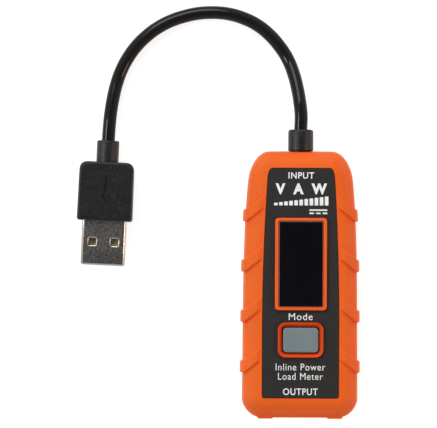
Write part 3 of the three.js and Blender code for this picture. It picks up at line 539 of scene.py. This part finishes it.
MATERIALS = {
    # The last colour tints the painted shade in the housing's grooves redder and darker.
    "housing_orange": orange_plastic("orange_moulding", (0.68, 0.101, 0.0120), (1.25, 0.25, 0.3)),
    "face_black": speckled_plastic("printed_label", LABEL_BLACK, LABEL_SPECK, 0.6, 5200, 0.00001),
    "display_dark": gloss_plastic("dark_window", (0.002, 0.0015, 0.0025), 0.06, 0.0000005),
    "display_module": gloss_plastic("display_glass", (0.09, 0.10, 0.11), 0.15),
    "carrier_white": moulded_plastic("white_moulding", (0.76, 0.74, 0.70), 0.5),
    "ribbon_amber": gloss_plastic("polyimide_film", (0.38, 0.14, 0.03), 0.3),
    "button_grey": moulded_plastic("grey_silicone", BUTTON_GREY, 0.55, 2600, 0.00003, 0.08),
    "switch_black": moulded_plastic("black_moulding", (0.012, 0.012, 0.013), 0.5),
    "board_green": gloss_plastic("solder_mask", (0.012, 0.10, 0.03), 0.3),
    "chip_black": moulded_plastic("chip_epoxy", (0.014, 0.015, 0.017), 0.5),
    "shunt_metal": plated_metal("shunt_alloy", (0.32, 0.30, 0.27), 0.4),
    "can_aluminium": plated_metal("can_aluminium", (0.72, 0.73, 0.75), 0.3),
    "bright_steel": plated_metal("nickel_sheet", (0.60, 0.57, 0.54), 0.25, 0.00001, dull=0.5),
    "screw_steel": plated_metal("zinc_steel", (0.45, 0.46, 0.48), 0.3),
    "contact_gold": plated_metal("contact_gold", (0.80, 0.50, 0.18), 0.42, dull=0.12),
    "insulator_white": moulded_plastic("insulator_nylon", (0.66, 0.65, 0.63), 0.5),
    "lead_black": gloss_plastic("lead_jacket", (0.010, 0.0085, 0.008), 0.08, 0.000001, ior=1.25),
    "plug_black": speckled_plastic(
        "plug_moulding", PLUG_BLACK, PLUG_SPECK, 0.44, grain=4500, ior=1.4),
    "rear_label": gloss_plastic("silver_film", (0.52, 0.53, 0.55), 0.35),
}
for wire, colour in WIRE_COLOURS.items():
    MATERIALS[f"wire_{wire}"] = gloss_plastic(f"{wire}_insulation", colour, 0.4)

# A darker, redder copy of the housing's orange: painted shade for the ring round the button.
BEZEL_SHADE_ORANGE = orange_plastic("bezel_painted_shade", (0.60, 0.062, 0.0085), (1.0, 0.4, 0.5))
PRINT_WHITE = gloss_plastic("white_print", (0.70, 0.69, 0.69), 0.45)
# A lighter grey-violet for the window's chamfer: painted reflection of the bright surroundings.
WINDOW_EDGE_GLINT = moulded_plastic("window_edge_painted_glint", (0.105, 0.092, 0.115), 0.6)
# A dimmer, even copy of the sheath's steel for its sloping edges: painted shade that tones down their
# reflections.
SHEATH_EDGE_SHADE = plated_metal("sheath_edge_painted_shade", (0.46, 0.43, 0.395), 0.25, 0.000003, dull=0.08)

# ---- outlines


def share_along(y, low, high):
    return np.clip((y - low) / (high - low), 0, 1)


def half_width_at(y):
    h = HOUSING
    along = share_along(y, h["side_low"], h["side_high"])
    return h["half_width"] - h["draft"] * along - h["taper"] * along ** h["taper_power"]


def label_half_width_at(y):
    wide, narrow = LABEL["half_width"], LABEL["chamfer_half_width"]
    along = share_along(y, LABEL["straight_to"], LABEL["chamfer_start"])
    return wide - (wide - narrow) * along ** 2


def bezier(p0, p1, p2, p3, count):
    """Points along a cubic curve, up to but without its end."""
    for i in range(count):
        t = i / count
        yield (
            (1 - t) ** 3 * np.array(p0) + 3 * t * (1 - t) ** 2 * np.array(p1)
            + 3 * t ** 2 * (1 - t) * np.array(p2) + t ** 3 * np.array(p3)
        )


def straight(start, end, count):
    """Points along a line, up to but without its end."""
    start, end = np.array(start), np.array(end)
    return [start + (end - start) * i / count for i in range(count)]


def half_outline(low_curve, width_at, high_curve, top):
    """The right half of an outline: a straight end, a curve, the side, a curve, a straight end."""
    ys = np.linspace(low_curve[3][1], high_curve[0][1], STRETCH["side"], endpoint=False)
    points = straight((0, low_curve[0][1]), low_curve[0], STRETCH["low_end"])
    points += bezier(*low_curve, STRETCH["low_corner"])
    points += [np.array((width_at(y), y)) for y in ys]
    points += bezier(*high_curve, STRETCH["high_corner"])
    points += straight(high_curve[3], top, STRETCH["high_end"])
    return points + [np.array(top)]


def housing_half():
    h = HOUSING
    side, low, low_x, pull = h["half_width"], h["low_end"], h["low_corner_x"], h["low_pull"]
    side_low, side_high = h["side_low"], h["side_high"]
    low_curve = [(low_x, low), (low_x + pull, low), (side, side_low - pull), (side, side_low)]
    high_x, corner_x = float(half_width_at(side_high)), h["high_corner_x"]
    corner_y = h["high_end"] - h["high_crown"]
    high_curve = [
        (high_x, side_high), (high_x - h["high_lean"], side_high + h["high_pull"]),
        (corner_x + h["high_pull"], corner_y - h["high_drop"]), (corner_x, corner_y),
    ]
    return half_outline(low_curve, half_width_at, high_curve, (0, h["high_end"]))


def label_half():
    side, low, high = LABEL["half_width"], LABEL["low"], LABEL["high"]
    radius = LABEL["low_radius"]
    pull = radius * 0.45
    low_curve = [(side - radius, low), (side - pull, low), (side, low + pull), (side, low + radius)]
    start_x, start_y = LABEL["chamfer_half_width"], LABEL["chamfer_start"]
    corner_x = LABEL["high_half_width"]
    high_curve = [
        (start_x, start_y), (start_x - LABEL["chamfer_lean"], start_y + LABEL["chamfer_pull"]),
        (corner_x + LABEL["high_pull"], high), (corner_x - LABEL["high_cut"], high),
    ]
    return half_outline(low_curve, label_half_width_at, high_curve, (0, high))


def whole(half):
    """Closes half an outline, drawn from the low end to the high end, with its mirror image."""
    left = [np.array((-p[0], p[1])) for p in reversed(half[1:-1])]
    return np.array(half + left)


# ---- housing


def smooth_step(value):
    value = np.clip(value, 0, 1)
    return value * value * (3 - 2 * value)


def within(value, low, high, edge):
    """1 between low and high, falling smoothly to 0 across an edge centred on each."""
    return smooth_step((value - low) / edge + 0.5) * smooth_step((high - value) / edge + 0.5)


def rib_height(grid, inset, height):
    """How far the grip ribs stand out of the housing's skin at each point of the grid."""
    y = grid[:, :, 1]
    over = np.where(height > SEAM, inset, 0)[:, None]
    lower_lean = RIB["lower_slant"] * np.clip(over - RIB["lower_from"], 0, None)
    upper_lean = RIB["upper_slant"] * np.clip(over - RIB["upper_from"], 0, None)
    total = np.zeros_like(y)
    for i in range(RIB["count"]):
        middle = RIB["first_y"] + i * RIB["pitch"]
        low = middle - RIB["half_width"] + lower_lean
        high = middle + RIB["half_width"] + upper_lean
        rise = smooth_step((y - low) / RIB["lower_edge"] + 0.5)
        total += rise * smooth_step((high - y) / RIB["upper_edge"] + 0.5)
    fade_in = smooth_step((SPAN_OUT_TO_LABEL - 0.1 - over) / RIB["fade_in"])
    fade_down = smooth_step((height[:, None] - RIB["lowest"]) / RIB["fade_down"])
    return RIB["proud"] * total * fade_in * fade_down


def add_ribs(grid, inset, height):
    """Moves the skin out along its normals by the ribs' height."""
    along = np.roll(grid, -1, axis=1) - np.roll(grid, 1, axis=1)
    across = np.gradient(grid, axis=0)
    normal = np.cross(along, across)
    normal /= np.maximum(np.linalg.norm(normal, axis=2, keepdims=True), 1e-9)
    outward = grid.copy()
    outward[:, :, 2] -= SEAM
    normal *= np.sign(np.sum(normal * outward, axis=2, keepdims=True))
    return grid + normal * rib_height(grid, inset, height)[:, :, None]


def draw_out(grid, near, far, low, high, edge, face):
    """Draws part of the output end's wall out to an upright face."""
    x, y, z = np.abs(grid[:, :, 0]), grid[:, :, 1], grid[:, :, 2]
    mask = within(x, near, far, edge) * within(z, low, high, edge)
    mask = mask * (y < HOUSING["low_end"] + END_REACH)
    grid[:, :, 1] = y + (np.minimum(y, face) - y) * mask


def shell(name, section, cavity):
    """One half of the housing: its cavity's rings, then its outside's, as one closed skin."""
    outline, inner = whole(housing_half()), whole(label_half())

    def rings(pairs):
        inset = np.array([p[0] for p in pairs])
        height = np.array([p[1] for p in pairs])
        share = (inset / SPAN_OUT_TO_LABEL)[:, None, None]
        flat = outline[None] + (inner - outline)[None] * share
        return np.dstack([flat, np.broadcast_to(height[:, None], flat.shape[:2])]), inset, height

    outside, inset, height = rings(resample(soften(section), SKIN_STEP))
    outside = add_ribs(outside, inset, height)
    for patch in (END_FACE, PAD):
        draw_out(outside, **patch)
    inside, _, _ = rings(cavity)
    return loft(name, np.concatenate([inside, outside]), smooth_angle=40)


def through(reach):
    """A straight section, that far to each side."""
    return [(0, -reach), (0, reach)]


def socket_cutter():
    low, high = box_mm("socket_shell")
    middle = (low + high) / 2
    wide, tall = high.x - low.x + 2 * SOCKET_GAP, high.z - low.z + 2 * SOCKET_GAP
    cutter = slab("cutter", wide, tall, 0.6, through(4))
    return moved(cutter, Matrix.Translation((middle.x, low.y, middle.z)) @ Y_UP)


def lead_cutter():
    cutter = turned("cutter", [(LEAD_HOLE_RADIUS, -4), (LEAD_HOLE_RADIUS, 4)])
    return moved(cutter, Matrix.Translation((0, HOUSING["high_end"], SEAM)) @ Y_UP)


def raised_frame(ring, corners, centre, steps):
    """A block that stands on the face, its top edge shaped by the section's corners."""
    section = soften([(0, FRAME_ROOT, 0), *corners])
    return slab("frame", ring["wide"], ring["long"], ring["radius"], section, centre, steps)


def display_frame():
    corners = [(0.0, DISPLAY_FRAME["rim"], 0.25), (0.3, DISPLAY_FRAME["top"], 0)]
    return raised_frame(DISPLAY_FRAME, corners, centre_of("display_window"), 12)


def button_frame():
    corners = [(0.0, BEZEL["rim"], 0.15), (0.22, BEZEL["top"] - 0.03, 0.2), (0.9, BEZEL["top"], 0)]
    return raised_frame(BEZEL, corners, centre_of("mode_button"), 14)


def window_cutter():
    """The window's recess, flaring a little at the top."""
    low, high = box_mm("display_window")
    gap = 0.16
    top = DISPLAY_FRAME["top"]
    section = [(0, low.z - 0.05), (0, top - 0.28), (-0.06, top - 0.14), (-0.22, top + 0.05)]
    wide, long = high.x - low.x + gap, high.y - low.y + gap
    return slab("cutter", wide, long, 0.45, section, centre_of("display_window"), 12)


def aperture_cutter():
    """The opening over the display panel, under the window."""
    low, high = box_mm("display_panel")
    ledge = 0.6
    section = [(0, 12.5), (0, 15)]
    wide, long = high.x - low.x - ledge, high.y - low.y - ledge
    return slab("cutter", wide, long, 0.3, section, centre_of("display_window"))


def button_cutter():
    """The button's hole, opening out in a slope towards the bezel's rim."""
    hole, top, slope = BUTTON_HOLE, BEZEL["top"], BUTTON_HOLE["slope"]
    section = soften([
        (0, 12.5, 0), (0, top - 1.0, 0.2), (-slope, top - 0.15, 0.25), (-slope - 0.3, top + 0.1, 0),
    ])
    centre = centre_of("mode_button")
    return slab("cutter", hole["wide"], hole["long"], hole["radius"], section, centre, 12)


def paint_bezel_shade(housing):
    """Paints shade on the ring round the button: a darker, redder copy of the orange that stands in
    for the shade in its recess.
    """
    housing.data.materials.append(BEZEL_SHADE_ORANGE)
    centre_y = centre_of("mode_button")[1]
    half_wide, half_long = BEZEL["wide"] / 2 - 0.1, BEZEL["long"] / 2 - 0.1
    for face in housing.data.polygons:
        x, y, z = face.center / MM
        if abs(x) < half_wide and abs(y - centre_y) < half_long and z > BEZEL["root"]:
            face.material_index = 1


def front_housing():
    piece = shell("front_housing", FRONT_SECTION, FRONT_CAVITY)
    combine(piece, [display_frame(), button_frame()], "UNION")
    cutters = [window_cutter(), aperture_cutter(), button_cutter(), socket_cutter(), lead_cutter()]
    return combine(piece, cutters, "DIFFERENCE")


def screw_cutter(x, y):
    mouth, head, shank = SCREW_HOLE["mouth"], SCREW_HOLE["head"], SCREW_HOLE["shank"]
    floor = SCREW_HOLE["head_depth"]
    profile = [
        (mouth, -1), (mouth, -0.01), (head, 0.16), (head, floor), (shank, floor + 0.01), (shank, 4),
    ]
    return moved(turned("cutter", profile, 48), Matrix.Translation((x, y, 0)))


def rear_label_cutter():
    low, high = box_mm("rear_label")
    gap, depth = 0.2, 0.4
    return slab("cutter", high.x - low.x + gap, high.y - low.y + gap, 1.2, [(0, -1), (0, depth)])


def rear_housing():
    piece = shell("rear_housing", REAR_SECTION, REAR_CAVITY)
    cutters = [screw_cutter(x, y) for x, y in SCREWS]
    cutters += [rear_label_cutter(), socket_cutter(), lead_cutter()]
    return combine(piece, cutters, "DIFFERENCE")


# ---- label, print, window


def flat_piece(name, outlines, low, high, edge=0.02):
    """A flat sheet from closed outlines, with softened edges; inner outlines are holes."""
    curve = bpy.data.curves.new(name, "CURVE")
    curve.dimensions = "2D"
    curve.fill_mode = "BOTH"
    curve.extrude = ((high - low) / 2 - edge) * MM
    curve.bevel_depth = edge * MM
    curve.offset = -edge * MM
    curve.bevel_resolution = 1
    for outline in outlines:
        spline = curve.splines.new("POLY")
        spline.points.add(len(outline) - 1)
        for knot, (x, y) in zip(spline.points, outline):
            knot.co = (x * MM, y * MM, 0, 1)
        spline.use_cyclic_u = True
    return meshed(link(name, curve), (low + high) / 2)


def meshed(piece, height):
    """The curve or text object as a mesh object, raised to the height."""
    depsgraph = bpy.context.evaluated_depsgraph_get()
    mesh = bpy.data.meshes.new_from_object(piece.evaluated_get(depsgraph))
    mesh.transform(piece.matrix_world @ Matrix.Translation((0, 0, height * MM)))
    name = piece.name
    bpy.data.objects.remove(piece)
    result = link(name, mesh)
    shade(result)
    return result


def hole_round(ring, centre, steps):
    """The label's opening for a raised ring."""
    wide, long = ring["wide"] + 2 * LABEL_GAP, ring["long"] + 2 * LABEL_GAP
    return rounded_rectangle(wide, long, ring["radius"] + 0.05, centre, steps)


def label_sheet():
    low, high = box_mm("face_label")
    half = label_half()
    outline = whole(half[::3] + [half[-1]])
    frame_hole = hole_round(DISPLAY_FRAME, centre_of("display_window"), 8)
    bezel_hole = hole_round(BEZEL, centre_of("mode_button"), 12)
    return flat_piece("label_sheet", [outline, frame_hole, bezel_hole], low.z, high.z)


def legend(name, words, centre_y, cap_height, wide, weight):
    """Flat printed words, fitted to a cap height and a width."""
    curve = bpy.data.curves.new(name, "FONT")
    curve.body = words
    curve.align_x = "CENTER"
    curve.offset = weight
    curve.space_character = 1.12
    piece = meshed(link(name, curve), 0)
    corners = np.array([v.co for v in piece.data.vertices])
    low, high = corners.min(0), corners.max(0)
    scale_x, scale_y = wide * MM / (high[0] - low[0]), cap_height * MM / high[1]
    x = -(low[0] + high[0]) / 2 * scale_x
    y = (centre_y - cap_height / 2) * MM
    z = (box_mm("face_label")[1].z + PRINT_LIFT) * MM
    piece.data.transform(Matrix.Translation((x, y, z)) @ Matrix.Diagonal((scale_x, scale_y, 1, 1)))
    return piece


def printed_block(name, wide, tall, centre):
    top = box_mm("face_label")[1].z
    section = [(0, top), (0, top + PRINT_LIFT)]
    return slab(name, wide, tall, 0.12, section, centre, 4)


def level_bars():
    """A plain row of rising level bars, printed in the label's upper part."""
    last = BARS["count"] - 1
    for i in range(BARS["count"]):
        tall = BARS["shortest"] + BARS["rise"] * i / last
        centre = ((i - last / 2) * BARS["pitch"], BARS["base"] + tall / 2)
        yield printed_block(f"print_bar_{i + 1}", BARS["wide"], tall, centre)


def direct_current_sign():
    """The usual sign for direct current: a line over a row of dashes."""
    sign = DC_SIGN
    line_centre = (sign["middle_x"], sign["line_y"])
    yield printed_block("print_dc_line", sign["wide"], sign["thick"], line_centre)
    last = sign["dashes"] - 1
    for i in range(sign["dashes"]):
        x = sign["middle_x"] + (i - last / 2) * (sign["wide"] - sign["dash"]) / last
        name = f"print_dc_dash_{i + 1}"
        yield printed_block(name, sign["dash"], sign["thick"], (x, sign["dash_y"]))


def printing():
    return [*(legend(*row) for row in LEGENDS), *level_bars(), *direct_current_sign()]


def window_pane():
    low, high = box_mm("display_window")
    top = high.z + 0.1
    section = [(0.1, low.z), (0, low.z + 0.1), (0, top - 0.14), (0.17, top)]
    wide, long = high.x - low.x, high.y - low.y
    return slab("window_pane", wide, long, 0.45, section, centre_of("display_window"), 10, 25)


# ---- button


def button_cap():
    """The button's crowned cap, on its retaining flange and its stem."""
    low, high = box_mm("mode_button")
    centre = centre_of("mode_button")
    wide, long = high.x - low.x, high.y - low.y
    lip, flange_low, flange_top, stem_radius = 0.75, low.z + 2.25, 13.3, 2.0
    crown = soften([
        (0, flange_top - 0.1, 0), (0, high.z - 0.1, 0.4), (1.3, high.z, 0.8), (2.6, high.z, 0),
    ])
    cap = slab("button_cap", wide - 2 * lip, long - 2 * lip, 0.95, crown, centre, 10)
    flange_section = [
        (0.1, flange_low), (0, flange_low + 0.1), (0, flange_top - 0.1), (0.1, flange_top),
    ]
    flange = slab("flange", wide, long, 0.8, flange_section, centre)
    stem_profile = [
        (stem_radius - 0.15, low.z), (stem_radius, low.z + 0.15), (stem_radius, flange_top - 0.2),
    ]
    stem = moved(turned("stem", stem_profile, 40), Matrix.Translation((*centre, 0)))
    return combine(cap, [flange, stem], "UNION")


# ---- strain relief and plug


def strain_relief():
    """A spigot and flange inside the wall, a neck through it and the boot outside."""
    low, high = box_mm("cable_strain_relief")
    flange = (high.x - low.x) / 2
    spigot, neck, boot = 2.5, 2.9, flange - 0.2
    flange_low, flange_high = low.y + 0.75, low.y + 1.6
    wall = HOUSING["high_end"]
    profile = soften([
        (spigot, low.y, 0), (spigot, flange_low, 0), (flange, flange_low, 0), (flange, flange_high, 0),
        (neck, flange_high, 0), (neck, wall + 0.02, 0), (boot - 0.15, wall + 0.02, 0),
        (boot, wall + 0.25, 0.1), (boot, high.y, 0.75), (LEAD_BORE, high.y + 0.06, 0),
    ])
    piece = turned("relief_boot", profile, 72)
    return moved(piece, Matrix.Translation((0, 0, SEAM)) @ Y_UP)


def moulding_outline():
    """The plug moulding's outline about its shoulder, from the metal sheath to the lead."""
    half, half_lead = PLUG["wide"] / 2, PLUG["wide_at_lead"] / 2
    corners = [
        (0, 0, 0), (half, 0, PLUG["shell_corner"]), (half_lead, PLUG["long"], PLUG["lead_corner"]),
        (0, PLUG["long"], 0),
    ]
    return whole(resample(soften(corners, 8), 0.6))


def moulding_body():
    """The plug's moulding, with a fine parting line round its middle."""
    outline = moulding_outline()
    top = PLUG["thick"] / 2
    round_over, parting = 0.85, 0.05
    section = soften([
        (1.2, -top, 0), (0.0, -top, round_over), (0.0, -parting, 0), (-0.035, 0, 0), (0.0, parting, 0),
        (0.0, top, round_over), (1.2, top, 0),
    ])
    centre = np.array((0, PLUG["long"] / 2))
    half_size = np.array((PLUG["wide"] / 2, PLUG["long"] / 2))
    rings = []
    for inset, height in section:
        flat = centre + (outline - centre) * (1 - inset / half_size)
        rings.append([(x, y, height) for x, y in flat])
    return loft("plug_body", rings)


def plug_boot():
    end = PLUG["long"] + PLUG["boot_long"]
    radius = PLUG["boot_radius"]
    profile = soften([
        (radius + 0.05, PLUG["long"] - 1.5, 0), (radius, PLUG["long"] + 0.6, 0.3),
        (radius + 0.03, end, 0.5), (LEAD_BORE, end + 0.06, 0),
    ])
    return moved(turned("boot", profile, 64), Y_UP)


def shell_pocket():
    """The pocket in the moulding that the metal sheath comes out of."""
    gap = 0.16
    cutter = slab("cutter", PLUG["shell_wide"] + gap, PLUG["shell_tall"] + gap, 0.7, through(3))
    return moved(cutter, Y_UP)


def arrow_cutters():
    """A plain arrow pressed into the moulding's top, pointing along the plug."""
    top = PLUG["thick"] / 2
    levels = (top - ARROW["depth"], top + 0.5)
    tip = PLUG["long"] * 0.32
    barb = (ARROW["half_wide"], tip + ARROW["barb"])
    notch = (ARROW["shaft_wide"] / 2, tip + ARROW["notch"])
    head = [(0, tip), barb, notch, (-notch[0], notch[1]), (-barb[0], barb[1])]
    rings = [[(x, y, z) for x, y in head] for z in levels]
    shaft_centre = (0, tip + ARROW["shaft_long"] / 2 + 2.4)
    section = [(0, z) for z in levels]
    shaft = slab("cutter", ARROW["shaft_wide"], ARROW["shaft_long"], 0.1, section, shaft_centre)
    return [loft("cutter", rings), shaft]


def plug_moulding():
    piece = combine(moulding_body(), [plug_boot()], "UNION")
    combine(piece, [shell_pocket(), *arrow_cutters()], "DIFFERENCE")
    piece.name = "plug_moulding"
    return moved(piece, PLUG_MATRIX)


def folded_tube(name, wide, tall, corner, profile):
    """A folded sheet tube along Y from (inset, y) pairs: round its outside, then back inside."""
    rings = []
    for inset, y in profile:
        radius = max(corner - inset, 0.25)
        flat = rounded_rectangle(wide - 2 * inset, tall - 2 * inset, radius)
        rings.append([(x, y, z) for x, z in flat])
    count, columns = len(rings), len(rings[0])
    faces = []
    for r in range(count):
        s = (r + 1) % count
        for c in range(columns):
            d = (c + 1) % columns
            faces.append((r * columns + c, s * columns + c, s * columns + d, r * columns + d))
    piece = mesh_piece(name, [point for ring in rings for point in ring], faces)
    if signed_volume(piece) < 0:
        piece.data.flip_normals()
    return piece


def plug_sheath():
    """The plug's metal sheath, with a chamfered tip and two latch holes on each side."""
    sheet, tip, back = PLUG["sheet"], -PLUG["shell_out"], 3.6
    piece = folded_tube("plug_sheath", PLUG["shell_wide"], PLUG["shell_tall"], 0.75, [
        (0, back), (0, tip + 0.46), (0.03, tip + 0.4), (0.27, tip + 0.04), (0.29, tip),
        (sheet - 0.03, tip), (sheet, tip + 0.06), (sheet, back),
    ])
    combine(piece, latch_cutters(tip), "DIFFERENCE")
    return moved(piece, PLUG_MATRIX)


def latch_cutters(tip):
    """A cutter for each latch hole, with a sloping rim, on the top and on the underside."""
    y = tip + PLUG["hole_from_tip"]
    top = PLUG["shell_tall"] / 2
    rim = PLUG["hole_rim"]
    section = [(0, top - 1), (0, top - 0.24), (-0.1, top - 0.2), (-rim, top + 0.01), (-rim, top + 0.5)]
    cutters = []
    for x in (-PLUG["hole_x"], PLUG["hole_x"]):
        over, under = (
            slab("cutter", PLUG["hole_wide"], PLUG["hole_long"], 0.4, section, (x, y), 5)
            for _ in range(2)
        )
        moved(under, Matrix.Scale(-1, 4, (0, 0, 1))).data.flip_normals()
        cutters += [over, under]
    return cutters


# ---- screws and socket


def screw(index, x, y):
    """A pan-head case screw with a cross recess, each turned to its own angle."""
    low, high = box_mm(f"case_screw_{index}")
    head, shank, head_top = (high.x - low.x) / 2, SCREW["shank"], SCREW["head_top"]
    profile = soften([
        (head - 0.45, low.z, 0), (head - 0.1, low.z + 0.12, 0.3), (head, low.z + 0.6, 0.2),
        (head, head_top, 0.05), (shank, head_top, 0), (shank, high.z - SCREW["point"], 0),
        (0.05, high.z, 0),
    ], 4)
    piece = turned(f"screw_{index}", profile, 40)
    slot = (SCREW["slot_long"], SCREW["slot_wide"])
    section = [(0, low.z - 1), (0, low.z + SCREW["slot_deep"])]
    cross = [slab("cutter", wide, long, 0.08, section) for wide, long in (slot, slot[::-1])]
    combine(piece, cross, "DIFFERENCE")
    turn = Matrix.Rotation(math.radians(25 * index), 4, "Z")
    return moved(piece, Matrix.Translation((x, y, 0)) @ turn)


def socket_sheath():
    """The output socket's metal sheath, its mouth opened out to guide a plug in."""
    low, high = box_mm("socket_shell")
    sheet = 0.35
    mouth, back = low.y, high.y
    piece = folded_tube("socket_sheath", high.x - low.x, high.z - low.z, 0.6, [
        (0, back), (0, mouth + 0.1), (0.06, mouth), (0.1, mouth), (sheet, mouth + 0.55), (sheet, back),
    ])
    return moved(piece, Matrix.Translation((0, 0, (low.z + high.z) / 2)))


def rear_plate():
    low, high = box_mm("rear_label")
    section = [(0.04, low.z), (0, low.z + 0.05), (0, high.z - 0.05), (0.04, high.z)]
    return slab("rear_plate", high.x - low.x, high.y - low.y, 1.1, section, steps=10)


def rear_border():
    """A plain printed line just inside the rear label's edge."""
    low, high = box_mm("rear_label")
    wide, long = high.x - low.x, high.y - low.y
    outlines = [rounded_rectangle(wide - inset, long - inset, 0.9) for inset in (1.6, 2.2)]
    return flat_piece("rear_border", outlines, low.z - PRINT_LIFT, low.z, 0.001)


# ---- building


def build_pieces():
    """Makes every piece and returns those that stay with the lead."""
    # The ring round the button gets painted shade.
    paint_bezel_shade(finish_piece(front_housing(), "housing_orange", ["front_shell"]))
    finish_piece(rear_housing(), "housing_orange", ["rear_shell"])
    finish_piece(label_sheet(), "face_black", ["face_label"])
    for piece in printing():
        finish_piece(piece, "face_black", [])
        piece.data.materials[0] = PRINT_WHITE
    # The window's chamfer gets a painted reflection.
    paint_edge_light(finish_piece(window_pane(), "display_dark", ["display_window"]), WINDOW_EDGE_GLINT)
    finish_piece(button_cap(), "button_grey", ["mode_button"], body="mode_button")
    for index, (x, y) in enumerate(SCREWS, 1):
        finish_piece(screw(index, x, y), "screw_steel", [f"case_screw_{index}"])
    finish_piece(socket_sheath(), "bright_steel", ["socket_shell"])
    finish_piece(rear_plate(), "rear_label", ["rear_label"])
    finish_piece(rear_border(), "chip_black", [])
    relief = finish_piece(strain_relief(), "plug_black", ["cable_strain_relief"])
    moulding = finish_piece(plug_moulding(), "plug_black", ["plug_overmold"])
    sheath = finish_piece(plug_sheath(), "bright_steel", ["plug_shell"])
    # The sheath's sloping edges get a painted shade.
    paint_edge_light(sheath, SHEATH_EDGE_SHADE)
    return [relief, moulding, sheath]


def dress_cad_nodes():
    """Gives every CAD node its slot's material and lightly rounded edges."""
    for entry in frame["record"]["subparts"]:
        node = frame["nodes"][entry["node"]]
        node.data.materials.clear()
        node.data.materials.append(MATERIALS[entry["material_slot"]])
        edge = node.modifiers.new("edge", "BEVEL")
        edge.width = CAD_EDGE * MM
        edge.segments = 2
        edge.limit_method = "ANGLE"
        edge.angle_limit = math.radians(40)


def declare_lead(pieces):
    """Gives the lead its material, puts it in the meter's body and hides the CAD cord in its place."""
    lead.data.materials.append(MATERIALS["lead_black"])
    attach(lead, "meter")
    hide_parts("power_cord")


# ---- stage and light


def grey(value):
    return value, value, value


def add_floor():
    """A pale floor with a faint glow of its own, which keeps the shadow light."""
    reach = 1500
    corners = [(-reach, -reach, 0), (reach, -reach, 0), (reach, reach, 0), (-reach, reach, 0)]
    floor = mesh_piece("floor", corners, [(0, 1, 2, 3)])
    material, tree, shader = new_material("pale_floor")
    tint = colours(tree, noise_at(tree, 3, 2), [(0.0, grey(0.30)), (1.0, grey(0.32))])
    tree.links.new(tint, shader.inputs["Base Color"])
    shader.inputs["Roughness"].default_value = 0.9
    shader.inputs["Specular IOR Level"].default_value = 0.1
    shader.inputs["Emission Color"].default_value = (1, 1, 1, 1)
    shader.inputs["Emission Strength"].default_value = 0.82
    floor.data.materials.append(material)


def area_light(name, place, size, power, colour):
    """A square softbox at a place in metres, facing the middle of the meter."""
    data = bpy.data.lights.new(name, "AREA")
    data.shape = "SQUARE"
    data.size = size
    data.energy = power
    data.color = colour
    light = link(name, data)
    light.location = place
    target = Vector((-0.02, 0.02, 0.01))
    light.rotation_euler = (target - light.location).to_track_quat("-Z", "Y").to_euler()


def add_lights():
    """Two cool softboxes towards the lead and the left, and a warm one on the right to fill."""
    cool, warm = (0.86, 1.0, 1.03), (1.0, 0.72, 0.52)
    area_light("top_softbox", (-0.35, 1.2, 1.05), 0.9, 17, cool)
    area_light("side_softbox", (-1.2, 0.15, 1.05), 0.4, 8, cool)
    area_light("warm_softbox", (1.25, -0.35, 0.85), 0.5, 8, warm)


def add_surroundings():
    """A white room that darkens towards the ceiling, where the camera hangs."""
    darkest_way = (0.14, -0.14, 0.98)
    world = bpy.data.worlds.new("studio")
    world.use_nodes = True
    tree = world.node_tree
    background = tree.nodes["Background"]
    coordinates = tree.nodes.new("ShaderNodeTexCoord")
    towards_dark = tree.nodes.new("ShaderNodeVectorMath")
    towards_dark.operation = "DOT_PRODUCT"
    tree.links.new(coordinates.outputs["Generated"], towards_dark.inputs[0])
    towards_dark.inputs[1].default_value = darkest_way
    stops = [(0.0, grey(0.6)), (0.35, grey(1.0)), (0.62, grey(0.95)), (0.86, (0.09, 0.09, 0.095))]
    tree.links.new(colours(tree, towards_dark.outputs["Value"], stops), background.inputs["Color"])
    background.inputs["Strength"].default_value = 0.9
    bpy.context.scene.world = world
    bpy.context.scene.view_settings.view_transform = "Standard"


dress_cad_nodes()
declare_lead(build_pieces())
add_floor()
add_lights()
add_surroundings()
